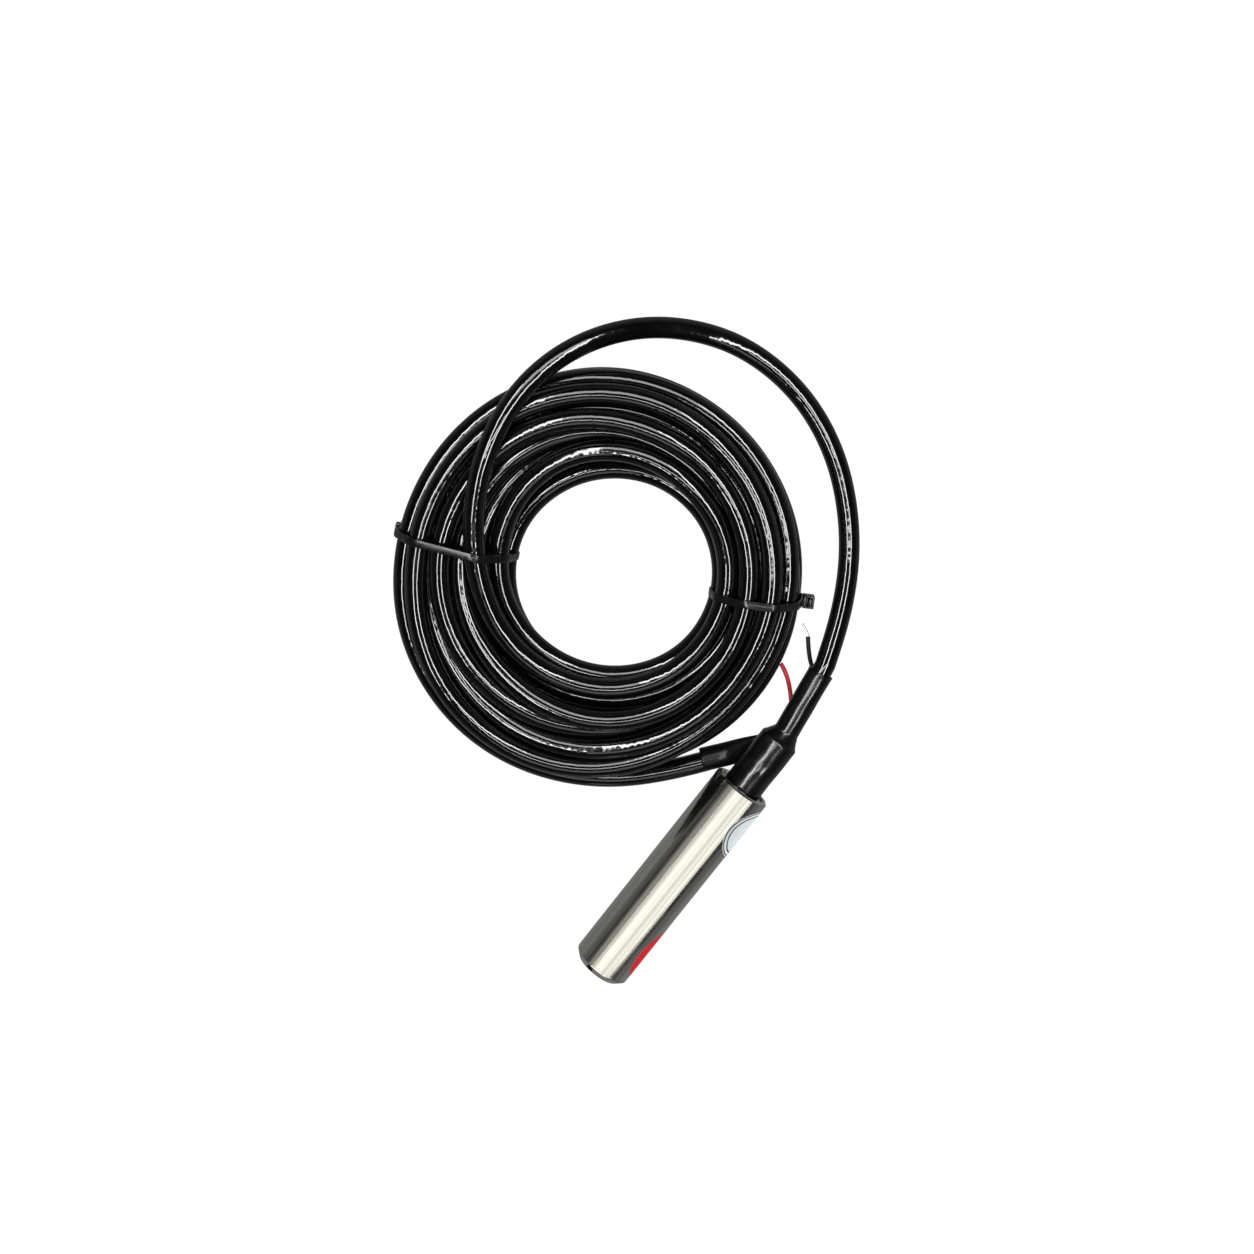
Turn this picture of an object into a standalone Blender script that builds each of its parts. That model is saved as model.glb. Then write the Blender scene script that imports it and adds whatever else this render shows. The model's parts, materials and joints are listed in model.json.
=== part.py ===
"""Submersible level transmitter, lying on a table beside its coiled cable.

A steel tube holds a pressure cell behind a perforated nose cap. A small amplifier board sits
behind the cell. The vented cable enters through a gland at the rear, under a stepped heat-shrink
boot that is bent a little to one side. The cable makes one wide loop, is wound into a tied coil,
and ends in a sleeve with two stripped cores.

Metres, +Z up. The probe lies along X with its nose at +X. The origin is on the table, under the
middle of the probe and boot.
"""
import bmesh
import bpy
from math import cos, pi, radians, sin
from mathutils import Vector

# Gap between two pieces that meet
CLEARANCE = 0.0003

# Housing tube and its nose cap
HOUSING_DIAMETER = 0.022
HOUSING_LENGTH = 0.088
HOUSING_EDGE = 0.0007
FRONT_WALL = 0.0012
MAIN_WALL = 0.0027
REAR_WALL = 0.0020
FRONT_BORE = HOUSING_DIAMETER - 2 * FRONT_WALL
MAIN_BORE = HOUSING_DIAMETER - 2 * MAIN_WALL
REAR_BORE = HOUSING_DIAMETER - 2 * REAR_WALL
NOSE_FLANGE = 0.0031
NOSE_CHAMFER = 0.0025
NOSE_SPIGOT_LENGTH = 0.008
NOSE_INLET = 0.0064
NOSE_SPIGOT_WALL = 0.0033
NOSE_CHAMBER = FRONT_BORE - 2 * NOSE_SPIGOT_WALL
NOSE_WALL = 0.0022
PORT_COUNT = 3
PORT_DIAMETER = 0.0024
PORT_CUT_REACH = 0.0042
PORT_DEPTH_ON_CHAMFER = 0.0011
PORT_ANGLE = radians(118)

# Pressure cell
LOCK_RING_LENGTH = 0.003
LOCK_RING_WALL = 0.0038
LOCK_RING_BORE = FRONT_BORE - 2 * LOCK_RING_WALL
LOCK_SLOT_WIDTH = 0.0018
LOCK_SLOT_DEPTH = 0.0012
WELD_RING_LENGTH = 0.001
WELD_RING_WALL = 0.00155
WELD_RING_BORE = FRONT_BORE - 2 * WELD_RING_WALL
DIAPHRAGM_THICKNESS = 0.0004
DIAPHRAGM_WAVE = 0.00025
DIAPHRAGM_WAVES = 3
CELL_LENGTH = 0.012
CELL_GROOVE_WIDTH = 0.0024
CELL_GROOVE_DEPTH = 0.0018
CELL_GROOVE_ROOT = FRONT_BORE - 2 * CELL_GROOVE_DEPTH
CELL_GROOVE_FROM_REAR = 0.006
CELL_RECESS_WALL = 0.0033
CELL_RECESS = FRONT_BORE - 2 * CELL_RECESS_WALL
CELL_RECESS_DEPTH = 0.003
PIN_DIAMETER = 0.0006
PIN_REACH = 0.004
PIN_PITCH = 0.002
PIN_COUNT = 4

# Amplifier board and what it carries
HOLDER_WALL = 0.0028
HOLDER_HOLE = MAIN_BORE - 2 * HOLDER_WALL
BOARD_INSET = 0.0019
BOARD_WIDTH = MAIN_BORE - 2 * BOARD_INSET
BOARD_THICKNESS = 0.0012
BOARD_FROM_REAR = 0.0205
CHIP_WIDTH, CHIP_HEIGHT = 0.005, 0.0016
CHIP_LEGS = 4
CHIP_LEG_WIDTH = 0.0005
REGULATOR_WIDTH, REGULATOR_HEIGHT = 0.0042, 0.0018
CAPACITOR_WIDTH, CAPACITOR_HEIGHT = 0.0028, 0.0022
SUPPRESSOR_WIDTH, SUPPRESSOR_HEIGHT = 0.0026, 0.0022
PASSIVES_PITCH = 0.0041
TERMINAL_WIDTH, TERMINAL_HEIGHT = 0.009, 0.0036
RIBBON_WIDTH = 0.0068
RIBBON_THICKNESS = 0.0008

# Where these start and end along the board, as shares of the bay from the board's rear end to
# the tips of the cell's pins
BOARD_SPAN = (0.0, 0.928)
REAR_HOLDER_SPAN = (0.023, 0.139)
TERMINAL_SPAN = (0.174, 0.319)
CAPACITOR_SPAN = (0.332, 0.442)
SUPPRESSOR_SPAN = (0.329, 0.445)
CHIP_SPAN = (0.455, 0.629)
REGULATOR_SPAN = (0.645, 0.775)
FRONT_HOLDER_SPAN = (0.788, 0.904)
RIBBON_SPAN = (0.792, 1.0)

# Cable gland
CABLE_DIAMETER = 0.0075
PLUG_LENGTH = 0.012
PLUG_RECESS = 0.0009
PLUG_GROOVE_WIDTH = 0.0024
PLUG_GROOVE_DEPTH = 0.0016
PLUG_GROOVE_ROOT = REAR_BORE - 2 * PLUG_GROOVE_DEPTH
PLUG_GROOVE_FROM_REAR = 0.0072
SEAL_WALL = 0.00145
SEAL_DIAMETER = CABLE_DIAMETER + 2 * SEAL_WALL
SPIGOT_WALL = 0.00095
SPIGOT_DIAMETER = SEAL_DIAMETER + 2 * (CLEARANCE + SPIGOT_WALL)
SPIGOT_REACH = 0.018
SEAL_LENGTH = 0.006
WASHER_LENGTH = 0.0008
NUT_SHANK_LENGTH = 0.0055
NUT_FLANGE = 0.0028
NUT_SLOT_WIDTH = 0.0016
CLAMP_WALL = 0.00165
CLAMP_DIAMETER = CABLE_DIAMETER + 2 * CLAMP_WALL
CLAMP_LENGTH = 0.003
CABLE_IN_HOUSING = 0.0172
INNER_CORE_DIAMETER = 0.0016
INNER_CORE_SPACING = 0.0038
VENT_TUBE_DIAMETER = 0.0015
VENT_TUBE_LENGTH = 0.012
VENT_TUBE_DROP = 0.0024
LEAD_RISE = [(0.0, 0.4), (0.3, 0.7), (0.7, 1.0), (1.0, 1.0)]
LEAD_SAMPLES = 7

# Heat-shrink boot, measured back from the housing's rear face
BOOT_WALL = 0.00055
BOOT_LARGE_LENGTH = 0.0218
BOOT_TAPER_LENGTH = 0.0040
BOOT_LENGTH = 0.0506
BOOT_BEND_START = 0.0238
BOOT_BEND_RADIUS = 0.020
BOOT_BEND = radians(8.3)
BOOT_SHOULDER_ROUND = 0.0006
BOOT_SHOULDER_DROP = 0.0003
BOOT_TAPER_POWER = 0.8
BOOT_BEND_SETTLE = 0.0008
BORE_OVERRUN = 0.001

# Coil of cable: one solid of the coil's outer shape, which isn't quite round
COIL_CENTRE = (-0.0500, -0.0857)
COIL_INNER_RADIUS = 0.0345
COIL_OUTER_RADIUS = 0.0715
COIL_HEIGHT = 0.0245
COIL_TOP_ROUND = 0.0085
COIL_BOTTOM_ROUND = 0.0035
COIL_STEPS = 60
COIL_CORNER_STEPS = 3

# Steps outwards from those two radii, at even angles that start at +X
COIL_INNER_SHIFTS = [
    -0.0031, -0.0022, -0.0004, 0.0018, 0.0027, 0.0034, 0.0041, 0.0046,
    0.0038, 0.0025, 0.0011, 0.0001, -0.0004, -0.0009, -0.0017, -0.0028,
]
COIL_OUTER_SHIFTS = [
    0.0078, 0.0072, 0.0011, -0.0007, -0.0009, -0.0012, -0.0008, -0.0003,
    0.0009, 0.0022, 0.0031, 0.0030, 0.0020, 0.0014, 0.0015, 0.0040,
]

# Cable ties
STRAP_WIDTH = 0.0028
STRAP_THICKNESS = 0.0012
STRAP_SINK = 0.0001
TIE_LIFT = 0.00005
TIE_LEFT_ANGLE = radians(-66.0)
TIE_RIGHT_ANGLE = radians(120.2)
LEFT_TIE_HEAD = (0.0026, 0.0046, 0.0042)
LEFT_TIE_HEAD_HEIGHT = 0.0048
RIGHT_TIE_HEAD = (0.0040, 0.0046, 0.0050)
RIGHT_TIE_HEAD_HEIGHT = 0.0095
TIE_STUB = (0.0016, 0.0024, 0.0012)
TIE_STUB_PLACE = 0.62
TIE_STUB_RISE = 0.3

# Free loop from the boot to the coil, at its centre line
LOOP_ROUTE = [
    (-0.0771, -0.0059, 0.0102), (-0.0854, -0.0093, 0.0082), (-0.0942, -0.0130, 0.0062),
    (-0.1024, -0.0172, 0.0048), (-0.1100, -0.0223, 0.0040), (-0.1175, -0.0287, 0.0038),
    (-0.1275, -0.0395, 0.0038), (-0.1328, -0.0490, 0.0038), (-0.1371, -0.0591, 0.0038),
    (-0.1404, -0.0705, 0.0038), (-0.1421, -0.0832, 0.0038), (-0.1434, -0.0966, 0.0040),
    (-0.1405, -0.1115, 0.0050), (-0.1338, -0.1244, 0.0076), (-0.1250, -0.1343, 0.0118),
    (-0.1161, -0.1403, 0.0165), (-0.1060, -0.1446, 0.0215), (-0.0940, -0.1486, 0.0262),
    (-0.0819, -0.1496, 0.0288), (-0.0729, -0.1480, 0.0289), (-0.0645, -0.1459, 0.0288),
    (-0.0560, -0.1425, 0.0287), (-0.0494, -0.1390, 0.0287),
]
LOOP_SAMPLES = 22
LOOP_STRAIGHT = 0.4 * CABLE_DIAMETER

# End of the cable: sleeve over the cable, flattened where it lies under the boot
TAIL_ROUTE = [(-0.0112, -0.0209, 0.0041), (-0.0136, -0.0188, 0.0041), (-0.0158, -0.0169, 0.0041)]
SLEEVE_ROUTE = [
    (-0.0160, -0.0167), (-0.0183, -0.0148), (-0.0206, -0.0129), (-0.0228, -0.0110),
    (-0.0253, -0.0088), (-0.0279, -0.0063), (-0.0303, -0.0038), (-0.0326, -0.0015),
]
SLEEVE_HEIGHTS = [0.0088, 0.0088, 0.0088, 0.0082, 0.0066, 0.0050, 0.0036, 0.0030]
SLEEVE_WIDTHS = [0.0088, 0.0088, 0.0088, 0.0088, 0.0089, 0.0091, 0.0093, 0.0094]
SLEEVE_SIDES = 20

# Stripped cores beyond the sleeve
CORE_DIAMETER = 0.0016
TIP_DIAMETER = 0.0008
RED_CORE_ROUTE = [
    (-0.0336, 0.0002, 0.0013), (-0.0362, 0.0020, 0.0010), (-0.0400, 0.0029, 0.0009),
    (-0.0445, 0.0022, 0.0009), (-0.0492, -0.0006, 0.0009), (-0.0541, -0.0048, 0.0009),
    (-0.0577, -0.0087, 0.0009), (-0.0600, -0.0121, 0.0009), (-0.0614, -0.0150, 0.0009),
]
RED_TIP_ROUTE = [(-0.06155, -0.01535, 0.0009), (-0.0620, -0.0166, 0.0009)]
BLACK_CORE_ROUTE = [
    (-0.0320, 0.0014, 0.0013), (-0.0345, 0.0036, 0.0010), (-0.0385, 0.0052, 0.0009),
    (-0.0440, 0.0057, 0.0009), (-0.0505, 0.0050, 0.0009), (-0.0570, 0.0032, 0.0009),
    (-0.0625, 0.0000, 0.0009), (-0.0662, -0.0038, 0.0009), (-0.0690, -0.0075, 0.0009),
    (-0.0722, -0.0107, 0.0009), (-0.0752, -0.0133, 0.0009),
]
BLACK_TIP_ROUTE = [
    (-0.07545, -0.01355, 0.0009), (-0.0767, -0.0153, 0.0009), (-0.0778, -0.0178, 0.0009),
]
CORE_EXTRA_SAMPLES = 3

# Facets around turned pieces
LARGE_STEPS = 48
MEDIUM_STEPS = 32
SMALL_STEPS = 24
CURVE_STEPS = 12

# Places that follow from the sizes above
BOOT_SMALL_RADIUS = CABLE_DIAMETER / 2 + CLEARANCE + BOOT_WALL
BOOT_LARGE_RADIUS = SPIGOT_DIAMETER / 2 + CLEARANCE + BOOT_WALL
AXIS_HEIGHT = HOUSING_DIAMETER / 2


def boot_axis(distance):
    """Point on the boot's centre line, and its direction, at a distance behind the housing."""
    turned_angle = min(max(distance - BOOT_BEND_START, 0) / BOOT_BEND_RADIUS, BOOT_BEND)
    straight = min(distance, BOOT_BEND_START)
    after = max(distance - BOOT_BEND_START - BOOT_BEND_RADIUS * BOOT_BEND, 0)
    back = straight + BOOT_BEND_RADIUS * sin(turned_angle) + after * cos(BOOT_BEND)
    aside = BOOT_BEND_RADIUS * (1 - cos(turned_angle)) + after * sin(BOOT_BEND)
    return (back, aside), (cos(turned_angle), sin(turned_angle))


BOOT_REACH = boot_axis(BOOT_LENGTH)[0][0] + BOOT_SMALL_RADIUS * sin(BOOT_BEND)
REAR_X = (BOOT_REACH - HOUSING_LENGTH) / 2
NOSE_X = REAR_X + HOUSING_LENGTH
TUBE_FRONT_X = NOSE_X - NOSE_FLANGE - CLEARANCE
SPIGOT_END_X = NOSE_X - NOSE_FLANGE - NOSE_SPIGOT_LENGTH
LOCK_FRONT_X = SPIGOT_END_X - CLEARANCE
LOCK_REAR_X = LOCK_FRONT_X - LOCK_RING_LENGTH
WELD_FRONT_X = LOCK_REAR_X - CLEARANCE
WELD_REAR_X = WELD_FRONT_X - WELD_RING_LENGTH
DIAPHRAGM_FRONT_X = WELD_REAR_X - CLEARANCE
DIAPHRAGM_REAR_X = DIAPHRAGM_FRONT_X - DIAPHRAGM_THICKNESS
CELL_FRONT_X = DIAPHRAGM_REAR_X - CLEARANCE
CELL_REAR_X = CELL_FRONT_X - CELL_LENGTH
CELL_SEAT_X = CELL_REAR_X - CLEARANCE
PLUG_REAR_X = REAR_X + PLUG_RECESS
PLUG_FRONT_X = PLUG_REAR_X + PLUG_LENGTH
SPIGOT_REAR_X = REAR_X - SPIGOT_REACH
PLUG_SEAT_X = PLUG_FRONT_X + CLEARANCE
CELL_RADIUS = FRONT_BORE / 2 - CLEARANCE
PLUG_RADIUS = REAR_BORE / 2 - CLEARANCE
CABLE_HOLE = CABLE_DIAMETER / 2 + CLEARANCE
BAY_REAR_X = REAR_X + BOARD_FROM_REAR
BAY_FRONT_X = CELL_REAR_X - PIN_REACH - CLEARANCE
BOARD_TOP = AXIS_HEIGHT + BOARD_THICKNESS / 2
RIBBON_HEIGHT = BOARD_TOP + CLEARANCE + RIBBON_THICKNESS / 2


def new_collection(name):
    collection = bpy.data.collections.new(name)
    bpy.context.scene.collection.children.link(collection)
    return collection


def clear_scene():
    for obj in list(bpy.data.objects):
        bpy.data.objects.remove(obj, do_unlink=True)


clear_scene()
PARTS = new_collection("submersible_level_transmitter")
CUTTERS = new_collection("cutters")


def material(name, colour, roughness, metallic=0.0):
    made = bpy.data.materials.new(name)
    made.use_nodes = True
    shader = made.node_tree.nodes["Principled BSDF"]
    shader.inputs["Base Color"].default_value = (*colour, 1.0)
    shader.inputs["Roughness"].default_value = roughness
    shader.inputs["Metallic"].default_value = metallic
    made.diffuse_color = (*colour, 1.0)
    return made


STEEL = material("turned_steel", (0.62, 0.61, 0.57), 0.28, 1.0)
CELL_STEEL = material("cell_steel", (0.68, 0.68, 0.67), 0.22, 1.0)
RUBBER = material("black_rubber", (0.015, 0.015, 0.016), 0.6)
SHRINK = material("heat_shrink", (0.012, 0.012, 0.014), 0.35)
JACKET = material("cable_jacket", (0.010, 0.010, 0.011), 0.22)
NYLON = material("black_nylon", (0.02, 0.02, 0.022), 0.4)
HOLDER = material("board_holder", (0.85, 0.84, 0.78), 0.5)
BOARD = material("green_board", (0.02, 0.20, 0.08), 0.45)
CHIP = material("chip_plastic", (0.03, 0.03, 0.03), 0.5)
CAPACITOR = material("capacitor_body", (0.75, 0.52, 0.10), 0.45)
TERMINAL = material("terminal_plastic", (0.05, 0.30, 0.12), 0.45)
RIBBON = material("ribbon_insulation", (0.55, 0.56, 0.58), 0.5)
RED_INSULATION = material("red_insulation", (0.55, 0.02, 0.03), 0.4)
BLACK_INSULATION = material("black_insulation", (0.015, 0.015, 0.016), 0.4)
VENT_PLASTIC = material("vent_plastic", (0.80, 0.82, 0.82), 0.3)
TINNED = material("tinned_copper", (0.75, 0.74, 0.72), 0.3, 1.0)
BRASS = material("nickel_brass", (0.66, 0.62, 0.52), 0.3, 1.0)


def add_object(name, data, made_of, collection=None):
    obj = bpy.data.objects.new(name, data)
    (collection or PARTS).objects.link(obj)
    if made_of:
        data.materials.append(made_of)
    return obj


def hide_cutter(obj):
    obj.hide_render = True
    obj.display_type = "WIRE"
    return obj


def turned(name, profile, made_of, steps=LARGE_STEPS, collection=None):
    """Turn a profile of (x, radius) points about the probe's axis.

    The profile runs along its outer side from the nose end to the rear end. One that leaves the
    axis is a ring and closes along its bore.
    """
    mesh = bpy.data.meshes.new(name)
    vertices = [(radius, 0, x) for x, radius in profile]
    edges = [(i, i + 1) for i in range(len(profile) - 1)]
    on_axis = profile[0][1] == 0 and profile[-1][1] == 0
    if not on_axis:
        edges.append((len(profile) - 1, 0))
    mesh.from_pydata(vertices, edges, [])
    obj = add_object(name, mesh, made_of, collection)
    obj.rotation_euler = (0, pi / 2, 0)
    obj.location = (0, 0, AXIS_HEIGHT)
    screw = obj.modifiers.new("Turn", "SCREW")
    screw.axis = "Z"
    screw.angle = 2 * pi
    screw.steps = steps
    screw.render_steps = steps
    screw.use_merge_vertices = True
    screw.merge_threshold = 0.000001
    screw.use_smooth_shade = False
    return obj


def box(name, low, high, made_of, collection=None):
    mesh = bpy.data.meshes.new(name)
    shape = bmesh.new()
    bmesh.ops.create_cube(shape, size=1.0)
    low, high = Vector(low), Vector(high)
    for vertex in shape.verts:
        vertex.co = [vertex.co[i] * (high[i] - low[i]) for i in range(3)]
    shape.to_mesh(mesh)
    shape.free()
    obj = add_object(name, mesh, made_of, collection)
    obj.location = (low + high) / 2
    return obj


def rod(name, start, end, diameter, made_of, steps=SMALL_STEPS, collection=None):
    """A round rod between two points."""
    start, end = Vector(start), Vector(end)
    mesh = bpy.data.meshes.new(name)
    shape = bmesh.new()
    bmesh.ops.create_cone(
        shape, cap_ends=True, segments=steps, radius1=diameter / 2, radius2=diameter / 2,
        depth=(end - start).length)
    shape.to_mesh(mesh)
    shape.free()
    obj = add_object(name, mesh, made_of, collection)
    obj.location = (start + end) / 2
    obj.rotation_mode = "QUATERNION"
    obj.rotation_quaternion = (end - start).to_track_quat("Z", "Y")
    return obj


def boolean(obj, other, operation):
    step = obj.modifiers.new(operation.title() + " " + other.name, "BOOLEAN")
    step.operation = operation
    step.object = other
    step.solver = "EXACT"


def cut(obj, cutter):
    boolean(obj, hide_cutter(cutter), "DIFFERENCE")


def join(obj, other):
    boolean(obj, hide_cutter(other), "UNION")


def smooth_route(points, samples):
    """Evenly spaced points on a Catmull-Rom curve through the given points."""
    points = [Vector(p) for p in points]
    ends = [2 * points[0] - points[1]] + points + [2 * points[-1] - points[-2]]
    dense = []
    for i in range(1, len(ends) - 2):
        before, start, end, after = ends[i - 1:i + 3]
        for step in range(CURVE_STEPS):
            t = step / CURVE_STEPS
            dense.append(0.5 * (2 * start + (end - before) * t
                                + (2 * before - 5 * start + 4 * end - after) * t ** 2
                                + (3 * start - before - 3 * end + after) * t ** 3))
    dense.append(points[-1])
    along = [0.0]
    for start, end in zip(dense, dense[1:]):
        along.append(along[-1] + (end - start).length)
    chosen = []
    k = 0
    for n in range(samples):
        wanted = along[-1] * n / (samples - 1)
        while k < len(along) - 2 and along[k + 1] < wanted:
            k += 1
        t = (wanted - along[k]) / (along[k + 1] - along[k])
        chosen.append(dense[k].lerp(dense[k + 1], min(t, 1.0)))
    return chosen


def tube(name, points, radius, made_of, resolution=4, radii=None, collection=None):
    """A round tube along points, with a radius for each point where radii are given."""
    curve = bpy.data.curves.new(name, "CURVE")
    curve.dimensions = "3D"
    curve.bevel_depth = radius
    curve.bevel_resolution = resolution
    curve.use_fill_caps = True
    spline = curve.splines.new("POLY")
    spline.points.add(len(points) - 1)
    for i, (point, place) in enumerate(zip(spline.points, points)):
        point.co = (*place, 1.0)
        point.radius = radii[i] / radius if radii else 1.0
    return add_object(name, curve, made_of, collection)


def as_mesh(obj, collection=None):
    """Swap a curve object for a mesh with its caps welded."""
    bpy.context.view_layer.update()
    evaluated = obj.evaluated_get(bpy.context.evaluated_depsgraph_get())
    mesh = bpy.data.meshes.new_from_object(evaluated)
    shape = bmesh.new()
    shape.from_mesh(mesh)
    bmesh.ops.remove_doubles(shape, verts=shape.verts, dist=0.000001)
    shape.to_mesh(mesh)
    shape.free()
    name, matrix = obj.name, obj.matrix_world.copy()
    bpy.data.objects.remove(obj, do_unlink=True)
    swapped = add_object(name, mesh, None, collection)
    swapped.matrix_world = matrix
    return swapped


def make_housing():
    outer = HOUSING_DIAMETER / 2
    return turned("housing_tube", [
        (TUBE_FRONT_X, outer),
        (REAR_X + HOUSING_EDGE, outer),
        (REAR_X, outer - HOUSING_EDGE),
        (REAR_X, REAR_BORE / 2),
        (PLUG_SEAT_X, REAR_BORE / 2),
        (PLUG_SEAT_X, MAIN_BORE / 2),
        (CELL_SEAT_X, MAIN_BORE / 2),
        (CELL_SEAT_X, FRONT_BORE / 2),
        (TUBE_FRONT_X, FRONT_BORE / 2),
    ], STEEL)


def make_nose_cap():
    """Screwed cap: chamfered flange, inlet in the middle and ports through the chamfer."""
    outer = HOUSING_DIAMETER / 2
    cap = turned("nose_cap", [
        (NOSE_X, outer - NOSE_CHAMFER),
        (NOSE_X - NOSE_CHAMFER, outer),
        (NOSE_X - NOSE_FLANGE, outer),
        (NOSE_X - NOSE_FLANGE, CELL_RADIUS),
        (SPIGOT_END_X, CELL_RADIUS),
        (SPIGOT_END_X, NOSE_CHAMBER / 2),
        (NOSE_X - NOSE_WALL, NOSE_CHAMBER / 2),
        (NOSE_X - NOSE_WALL, NOSE_INLET / 2),
        (NOSE_X, NOSE_INLET / 2),
    ], STEEL)
    port_radius = outer - NOSE_CHAMFER + PORT_DEPTH_ON_CHAMFER
    for i in range(PORT_COUNT):
        angle = PORT_ANGLE + 2 * pi * i / PORT_COUNT
        out = Vector((0, cos(angle), sin(angle)))
        forward = Vector((1, 0, 0))
        entry = forward * (NOSE_X - PORT_DEPTH_ON_CHAMFER) + out * port_radius
        entry.z += AXIS_HEIGHT
        along = (forward + out).normalized() * PORT_CUT_REACH
        cut(cap, rod(f"port_cutter_{i}", entry - along, entry + along, PORT_DIAMETER, None,
                     steps=16, collection=CUTTERS))
    return cap


def make_pressure_cell():
    lock_ring = turned("cell_lock_ring", [
        (LOCK_FRONT_X, CELL_RADIUS), (LOCK_REAR_X, CELL_RADIUS),
        (LOCK_REAR_X, LOCK_RING_BORE / 2), (LOCK_FRONT_X, LOCK_RING_BORE / 2),
    ], STEEL, MEDIUM_STEPS)
    half_slot = LOCK_SLOT_WIDTH / 2
    cut(lock_ring, box(
        "lock_slot_cutter",
        (LOCK_FRONT_X - LOCK_SLOT_DEPTH, -half_slot, 0),
        (LOCK_FRONT_X + CLEARANCE, half_slot, HOUSING_DIAMETER), None, CUTTERS))
    turned("cell_weld_ring", [
        (WELD_FRONT_X, CELL_RADIUS), (WELD_REAR_X, CELL_RADIUS),
        (WELD_REAR_X, WELD_RING_BORE / 2), (WELD_FRONT_X, WELD_RING_BORE / 2),
    ], CELL_STEEL, MEDIUM_STEPS)
    make_diaphragm()
    cell = turned("sensor_cell", [
        (CELL_FRONT_X, 0), (CELL_FRONT_X, CELL_RADIUS),
        (CELL_REAR_X + CELL_GROOVE_FROM_REAR + CELL_GROOVE_WIDTH, CELL_RADIUS),
        (CELL_REAR_X + CELL_GROOVE_FROM_REAR + CELL_GROOVE_WIDTH, CELL_GROOVE_ROOT / 2),
        (CELL_REAR_X + CELL_GROOVE_FROM_REAR, CELL_GROOVE_ROOT / 2),
        (CELL_REAR_X + CELL_GROOVE_FROM_REAR, CELL_RADIUS),
        (CELL_REAR_X, CELL_RADIUS), (CELL_REAR_X, CELL_RECESS / 2),
        (CELL_REAR_X + CELL_RECESS_DEPTH, CELL_RECESS / 2), (CELL_REAR_X + CELL_RECESS_DEPTH, 0),
    ], CELL_STEEL, MEDIUM_STEPS)
    pin_root = CELL_REAR_X + CELL_RECESS_DEPTH + CLEARANCE
    for i in range(PIN_COUNT):
        side = (i - (PIN_COUNT - 1) / 2) * PIN_PITCH
        join(cell, rod(f"cell_pin_{i}", (pin_root, side, RIBBON_HEIGHT),
                       (CELL_REAR_X - PIN_REACH, side, RIBBON_HEIGHT), PIN_DIAMETER, None,
                       steps=8, collection=CUTTERS))
    make_o_ring("cell_o_ring", CELL_REAR_X + CELL_GROOVE_FROM_REAR, CELL_GROOVE_WIDTH,
                CELL_GROOVE_ROOT / 2, FRONT_BORE / 2)


def make_diaphragm():
    """Thin disc with rings of waves: x shifts with the cosine of the radius."""
    radius = CELL_RADIUS
    flat = radius * 0.2
    count = DIAPHRAGM_WAVES * 4

    def ripple(r):
        if r < flat or r > WELD_RING_BORE / 2 - CLEARANCE:
            return 0.0
        share = (r - flat) / (WELD_RING_BORE / 2 - CLEARANCE - flat)
        return DIAPHRAGM_WAVE * sin(share * DIAPHRAGM_WAVES * 2 * pi) / 2

    radii = [flat + (radius - flat) * i / count for i in range(count + 1)]
    front = [(DIAPHRAGM_FRONT_X, 0)] + [(DIAPHRAGM_FRONT_X + ripple(r), r) for r in radii]
    rear = [(DIAPHRAGM_REAR_X + ripple(r), r) for r in reversed(radii)]
    turned("cell_diaphragm", front + rear + [(DIAPHRAGM_REAR_X, 0)], CELL_STEEL, SMALL_STEPS)


def make_o_ring(name, groove_start_x, groove_width, root_radius, bore_radius):
    """A rubber ring that fills its groove, less the clearance, and meets the bore."""
    section = (bore_radius - root_radius) / 2 - CLEARANCE
    middle = (bore_radius + root_radius) / 2
    centre = groove_start_x + groove_width / 2
    sides = 10
    profile = []
    for i in range(sides):
        angle = pi / 2 + pi / sides - 2 * pi * i / sides
        profile.append((centre - section * cos(angle), middle + section * sin(angle)))
    turned(name, profile, RUBBER, MEDIUM_STEPS)


def along_bay(span):
    """Start and end along X of a span given as shares of the bay."""
    return [BAY_REAR_X + (BAY_FRONT_X - BAY_REAR_X) * share for share in span]


def make_holder(name, span):
    """Plastic disc with a round window and a slot that the board slides through."""
    rear_x, front_x = along_bay(span)
    radius = MAIN_BORE / 2 - CLEARANCE
    holder = turned(name, [
        (front_x, radius), (rear_x, radius), (rear_x, HOLDER_HOLE / 2), (front_x, HOLDER_HOLE / 2),
    ], HOLDER, MEDIUM_STEPS)
    half_width = BOARD_WIDTH / 2 + CLEARANCE
    half_height = BOARD_THICKNESS / 2 + CLEARANCE
    cut(holder, box(
        name + "_slot_cutter",
        (rear_x - CLEARANCE, -half_width, AXIS_HEIGHT - half_height),
        (front_x + CLEARANCE, half_width, AXIS_HEIGHT + half_height),
        None, CUTTERS))


def on_board(name, span, side, width, height, made_of):
    """A block that sits on the board, over a span of the bay."""
    rear_x, front_x = along_bay(span)
    base = BOARD_TOP + CLEARANCE
    return box(name, (rear_x, side - width / 2, base),
               (front_x, side + width / 2, base + height), made_of)


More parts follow.
